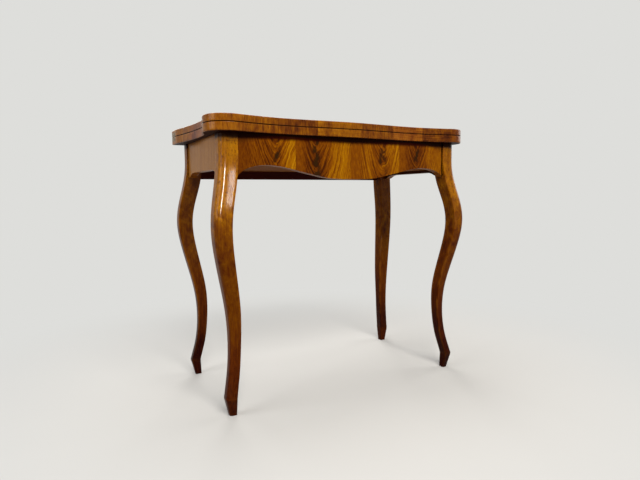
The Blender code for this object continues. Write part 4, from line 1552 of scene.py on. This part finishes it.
def make_cloth(name, low, high):
    """The grid at two levels, the upper face and the glued face, joined by a rim."""
    x, y = cloth_points()
    faces_at = [np.stack([x, y, np.full(y.shape, z)], axis=-1) for z in (high, low)]
    index = np.arange(y.size).reshape(y.shape)
    corners = [index[:-1, :-1], index[:-1, 1:], index[1:, 1:], index[1:, :-1]]
    quads = np.stack(corners, axis=-1).reshape(-1, 4)
    rim = np.concatenate([index[0, :-1], index[:-1, -1], index[-1, :0:-1], index[:0:-1, 0]])
    after = np.roll(rim, -1)
    walls = np.stack([rim + y.size, after + y.size, after, rim], axis=-1)
    faces = np.concatenate([quads, quads[:, ::-1] + y.size, walls])
    mesh = bpy.data.meshes.new(name)
    mesh.from_pydata(np.concatenate(faces_at).reshape(-1, 3).tolist(), [], faces.tolist())
    mesh.materials.append(baize)
    mesh.shade_smooth()
    mesh.set_sharp_from_angle(angle=CRISP_ANGLE)
    return place_mesh(name, mesh)


for word, leaf in (("lower", lower_leaf), ("upper", upper_leaf)):
    low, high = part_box(f"baize_{word}")
    levels = (low.z, high.z + nearer) if word == "lower" else (low.z - nearer, high.z)
    cloth = make_cloth(f"cloth_{word}", *levels)
    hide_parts(f"baize_{word}")
    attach(cloth, f"{word}_leaf")

# %% [markdown]
# ## Floor
#
# The table stands on a plain pale floor that runs out of sight. To the eye it is
# pale, but the light that bounces off it is dimmer and warmer, so that it doesn't
# wash out the legs from below. Far out it fades into the backdrop, so that no horizon
# shows. The Light Path node tells the kinds of rays apart.

# %% Floor
BACKDROP = shade(222, 222, 219)
PALE = shade(189, 187, 183)
DIM = shade(112, 90, 66)
FLOOR_REACH = 60.0
FADE_FROM, FADE_TO = 0.40, 1.40


def background_rays(recipe):
    """1 for rays from the camera, off something shiny or through glass, 0 for the others."""
    path = recipe.node("LightPath").socket.node.outputs
    names = ("Is Camera Ray", "Is Glossy Ray", "Is Transmission Ray")
    camera_ray, shiny, through = (Wire(recipe, path[name]) for name in names)
    return recipe.either(recipe.either(camera_ray, shiny), through)


def pale_floor():
    """Matt near by. Far out, for the rays that are seen, it turns into plain backdrop light."""
    recipe = Recipe("studio_floor")
    x, y, _ = recipe.parts(recipe.place())
    far = recipe.rise((x * x + y * y) ** 0.5, FADE_FROM, FADE_TO)
    seen = background_rays(recipe)
    base = recipe.mix(seen, DIM, PALE)
    recipe.finish(Base_Color=base, Roughness=0.8, Specular_IOR_Level=0.1)
    matt = Wire(recipe, recipe.shader.outputs[0])
    glow = recipe.node("Emission", values={"Color": BACKDROP, "Strength": 1.0})
    blended = recipe.node("MixShader", values={0: far * seen, 1: matt, 2: glow})
    recipe.plug(recipe.tree.nodes["Material Output"].inputs["Surface"], blended)
    return recipe.owner


floor_mesh = bpy.data.meshes.new("floor")
corners = np.array([(-1, -1, 0), (1, -1, 0), (1, 1, 0), (-1, 1, 0)]) * FLOOR_REACH
floor_mesh.from_pydata(corners.tolist(), [], [(0, 1, 2, 3)])
floor_mesh.materials.append(pale_floor())
floor = place_mesh("floor", floor_mesh)
print("floor", 2 * FLOOR_REACH, "m wide")

# %% [markdown]
# ## Air
#
# The world fills the shadows with a weak cool light, and shows the pale backdrop to
# the camera and to reflections. It is a recipe like the others, with two backgrounds
# mixed by the same rays.

# %% World
FILL = 0.17

air = Recipe("studio_air", "worlds")
bpy.context.scene.world = air.owner
fill = air.node("Background", values={"Color": shade(240, 244, 250), "Strength": FILL})
backdrop = air.node("Background", values={"Color": BACKDROP})
both = air.node("MixShader", values={0: background_rays(air), 1: fill, 2: backdrop})
air.plug(air.tree.nodes["World Output"].inputs["Surface"], both)
print("fill light", FILL)

# %% [markdown]
# ## Lamps
#
# Soft studio light comes from five large softboxes: one high in front, which gives
# the polish its sheen, and one at each side, behind and overhead, so that the table
# reads from all round. Two small lamps, a tall window and a low softbox, draw the
# bright lines down the front left leg. They would turn the polished top white in a
# view from behind, so light linking gives them to the legs alone.

# %% Lamps


def lamp(name, place, aim, size, power, colour=(1.0, 1.0, 1.0), legs_only=False):
    """A rectangular soft light that faces a point. One for the legs draws their gloss only.

    A lamp shines along its own -z, so z points back from the aim, and x stays level.
    """
    light = bpy.data.lights.new(name, "AREA")
    light.shape = "RECTANGLE"
    light.size, light.size_y = size
    light.energy, light.color = power, colour
    place, aim = np.array(place), np.array(aim)
    back = (place - aim) / np.linalg.norm(place - aim)
    side = np.cross((0.0, 0.0, 1.0), back)
    side /= np.linalg.norm(side)
    matrix = np.eye(4)
    matrix[:3, 0], matrix[:3, 1], matrix[:3, 2] = side, np.cross(back, side), back
    matrix[:3, 3] = place
    made = bpy.data.objects.new(name, light)
    made.matrix_world = Matrix(matrix.tolist())
    if legs_only:
        made.visible_diffuse = False
        made.light_linking.receiver_collection = legs_alone
    bpy.context.scene.collection.objects.link(made)
    print(name, power, "W")


MIDDLE = (0.0, 0.0, 0.5)
LEFT_KNEE = (-0.39, -0.2, 0.58)
WARM, COOL, SOFT_WARM = (1.0, 0.97, 0.93), (0.95, 0.98, 1.0), (1.0, 0.99, 0.97)
lamp("high_softbox", (-0.35, -2.2, 2.5), MIDDLE, (1.7, 1.2), 104.0, WARM)
lamp("left_softbox", (-2.6, -0.2, 1.6), MIDDLE, (1.6, 1.4), 33.0, COOL)
lamp("top_softbox", (0.0, 0.8, 3.0), MIDDLE, (2.0, 1.4), 34.0)
lamp("right_softbox", (2.6, -0.1, 1.6), MIDDLE, (1.6, 1.4), 26.0, SOFT_WARM)
lamp("back_softbox", (0.7, 2.7, 1.8), MIDDLE, (1.6, 1.2), 42.0, SOFT_WARM)
lamp("tall_window", (-1.85, -2.95, 2.25), LEFT_KNEE, (0.20, 1.1), 420.0, legs_only=True)
lamp("knee_softbox", (0.54, -2.6, 1.56), LEFT_KNEE, (0.16, 0.27), 14.5, legs_only=True)

# %% Colour view
bpy.context.scene.view_settings.view_transform = "Standard"
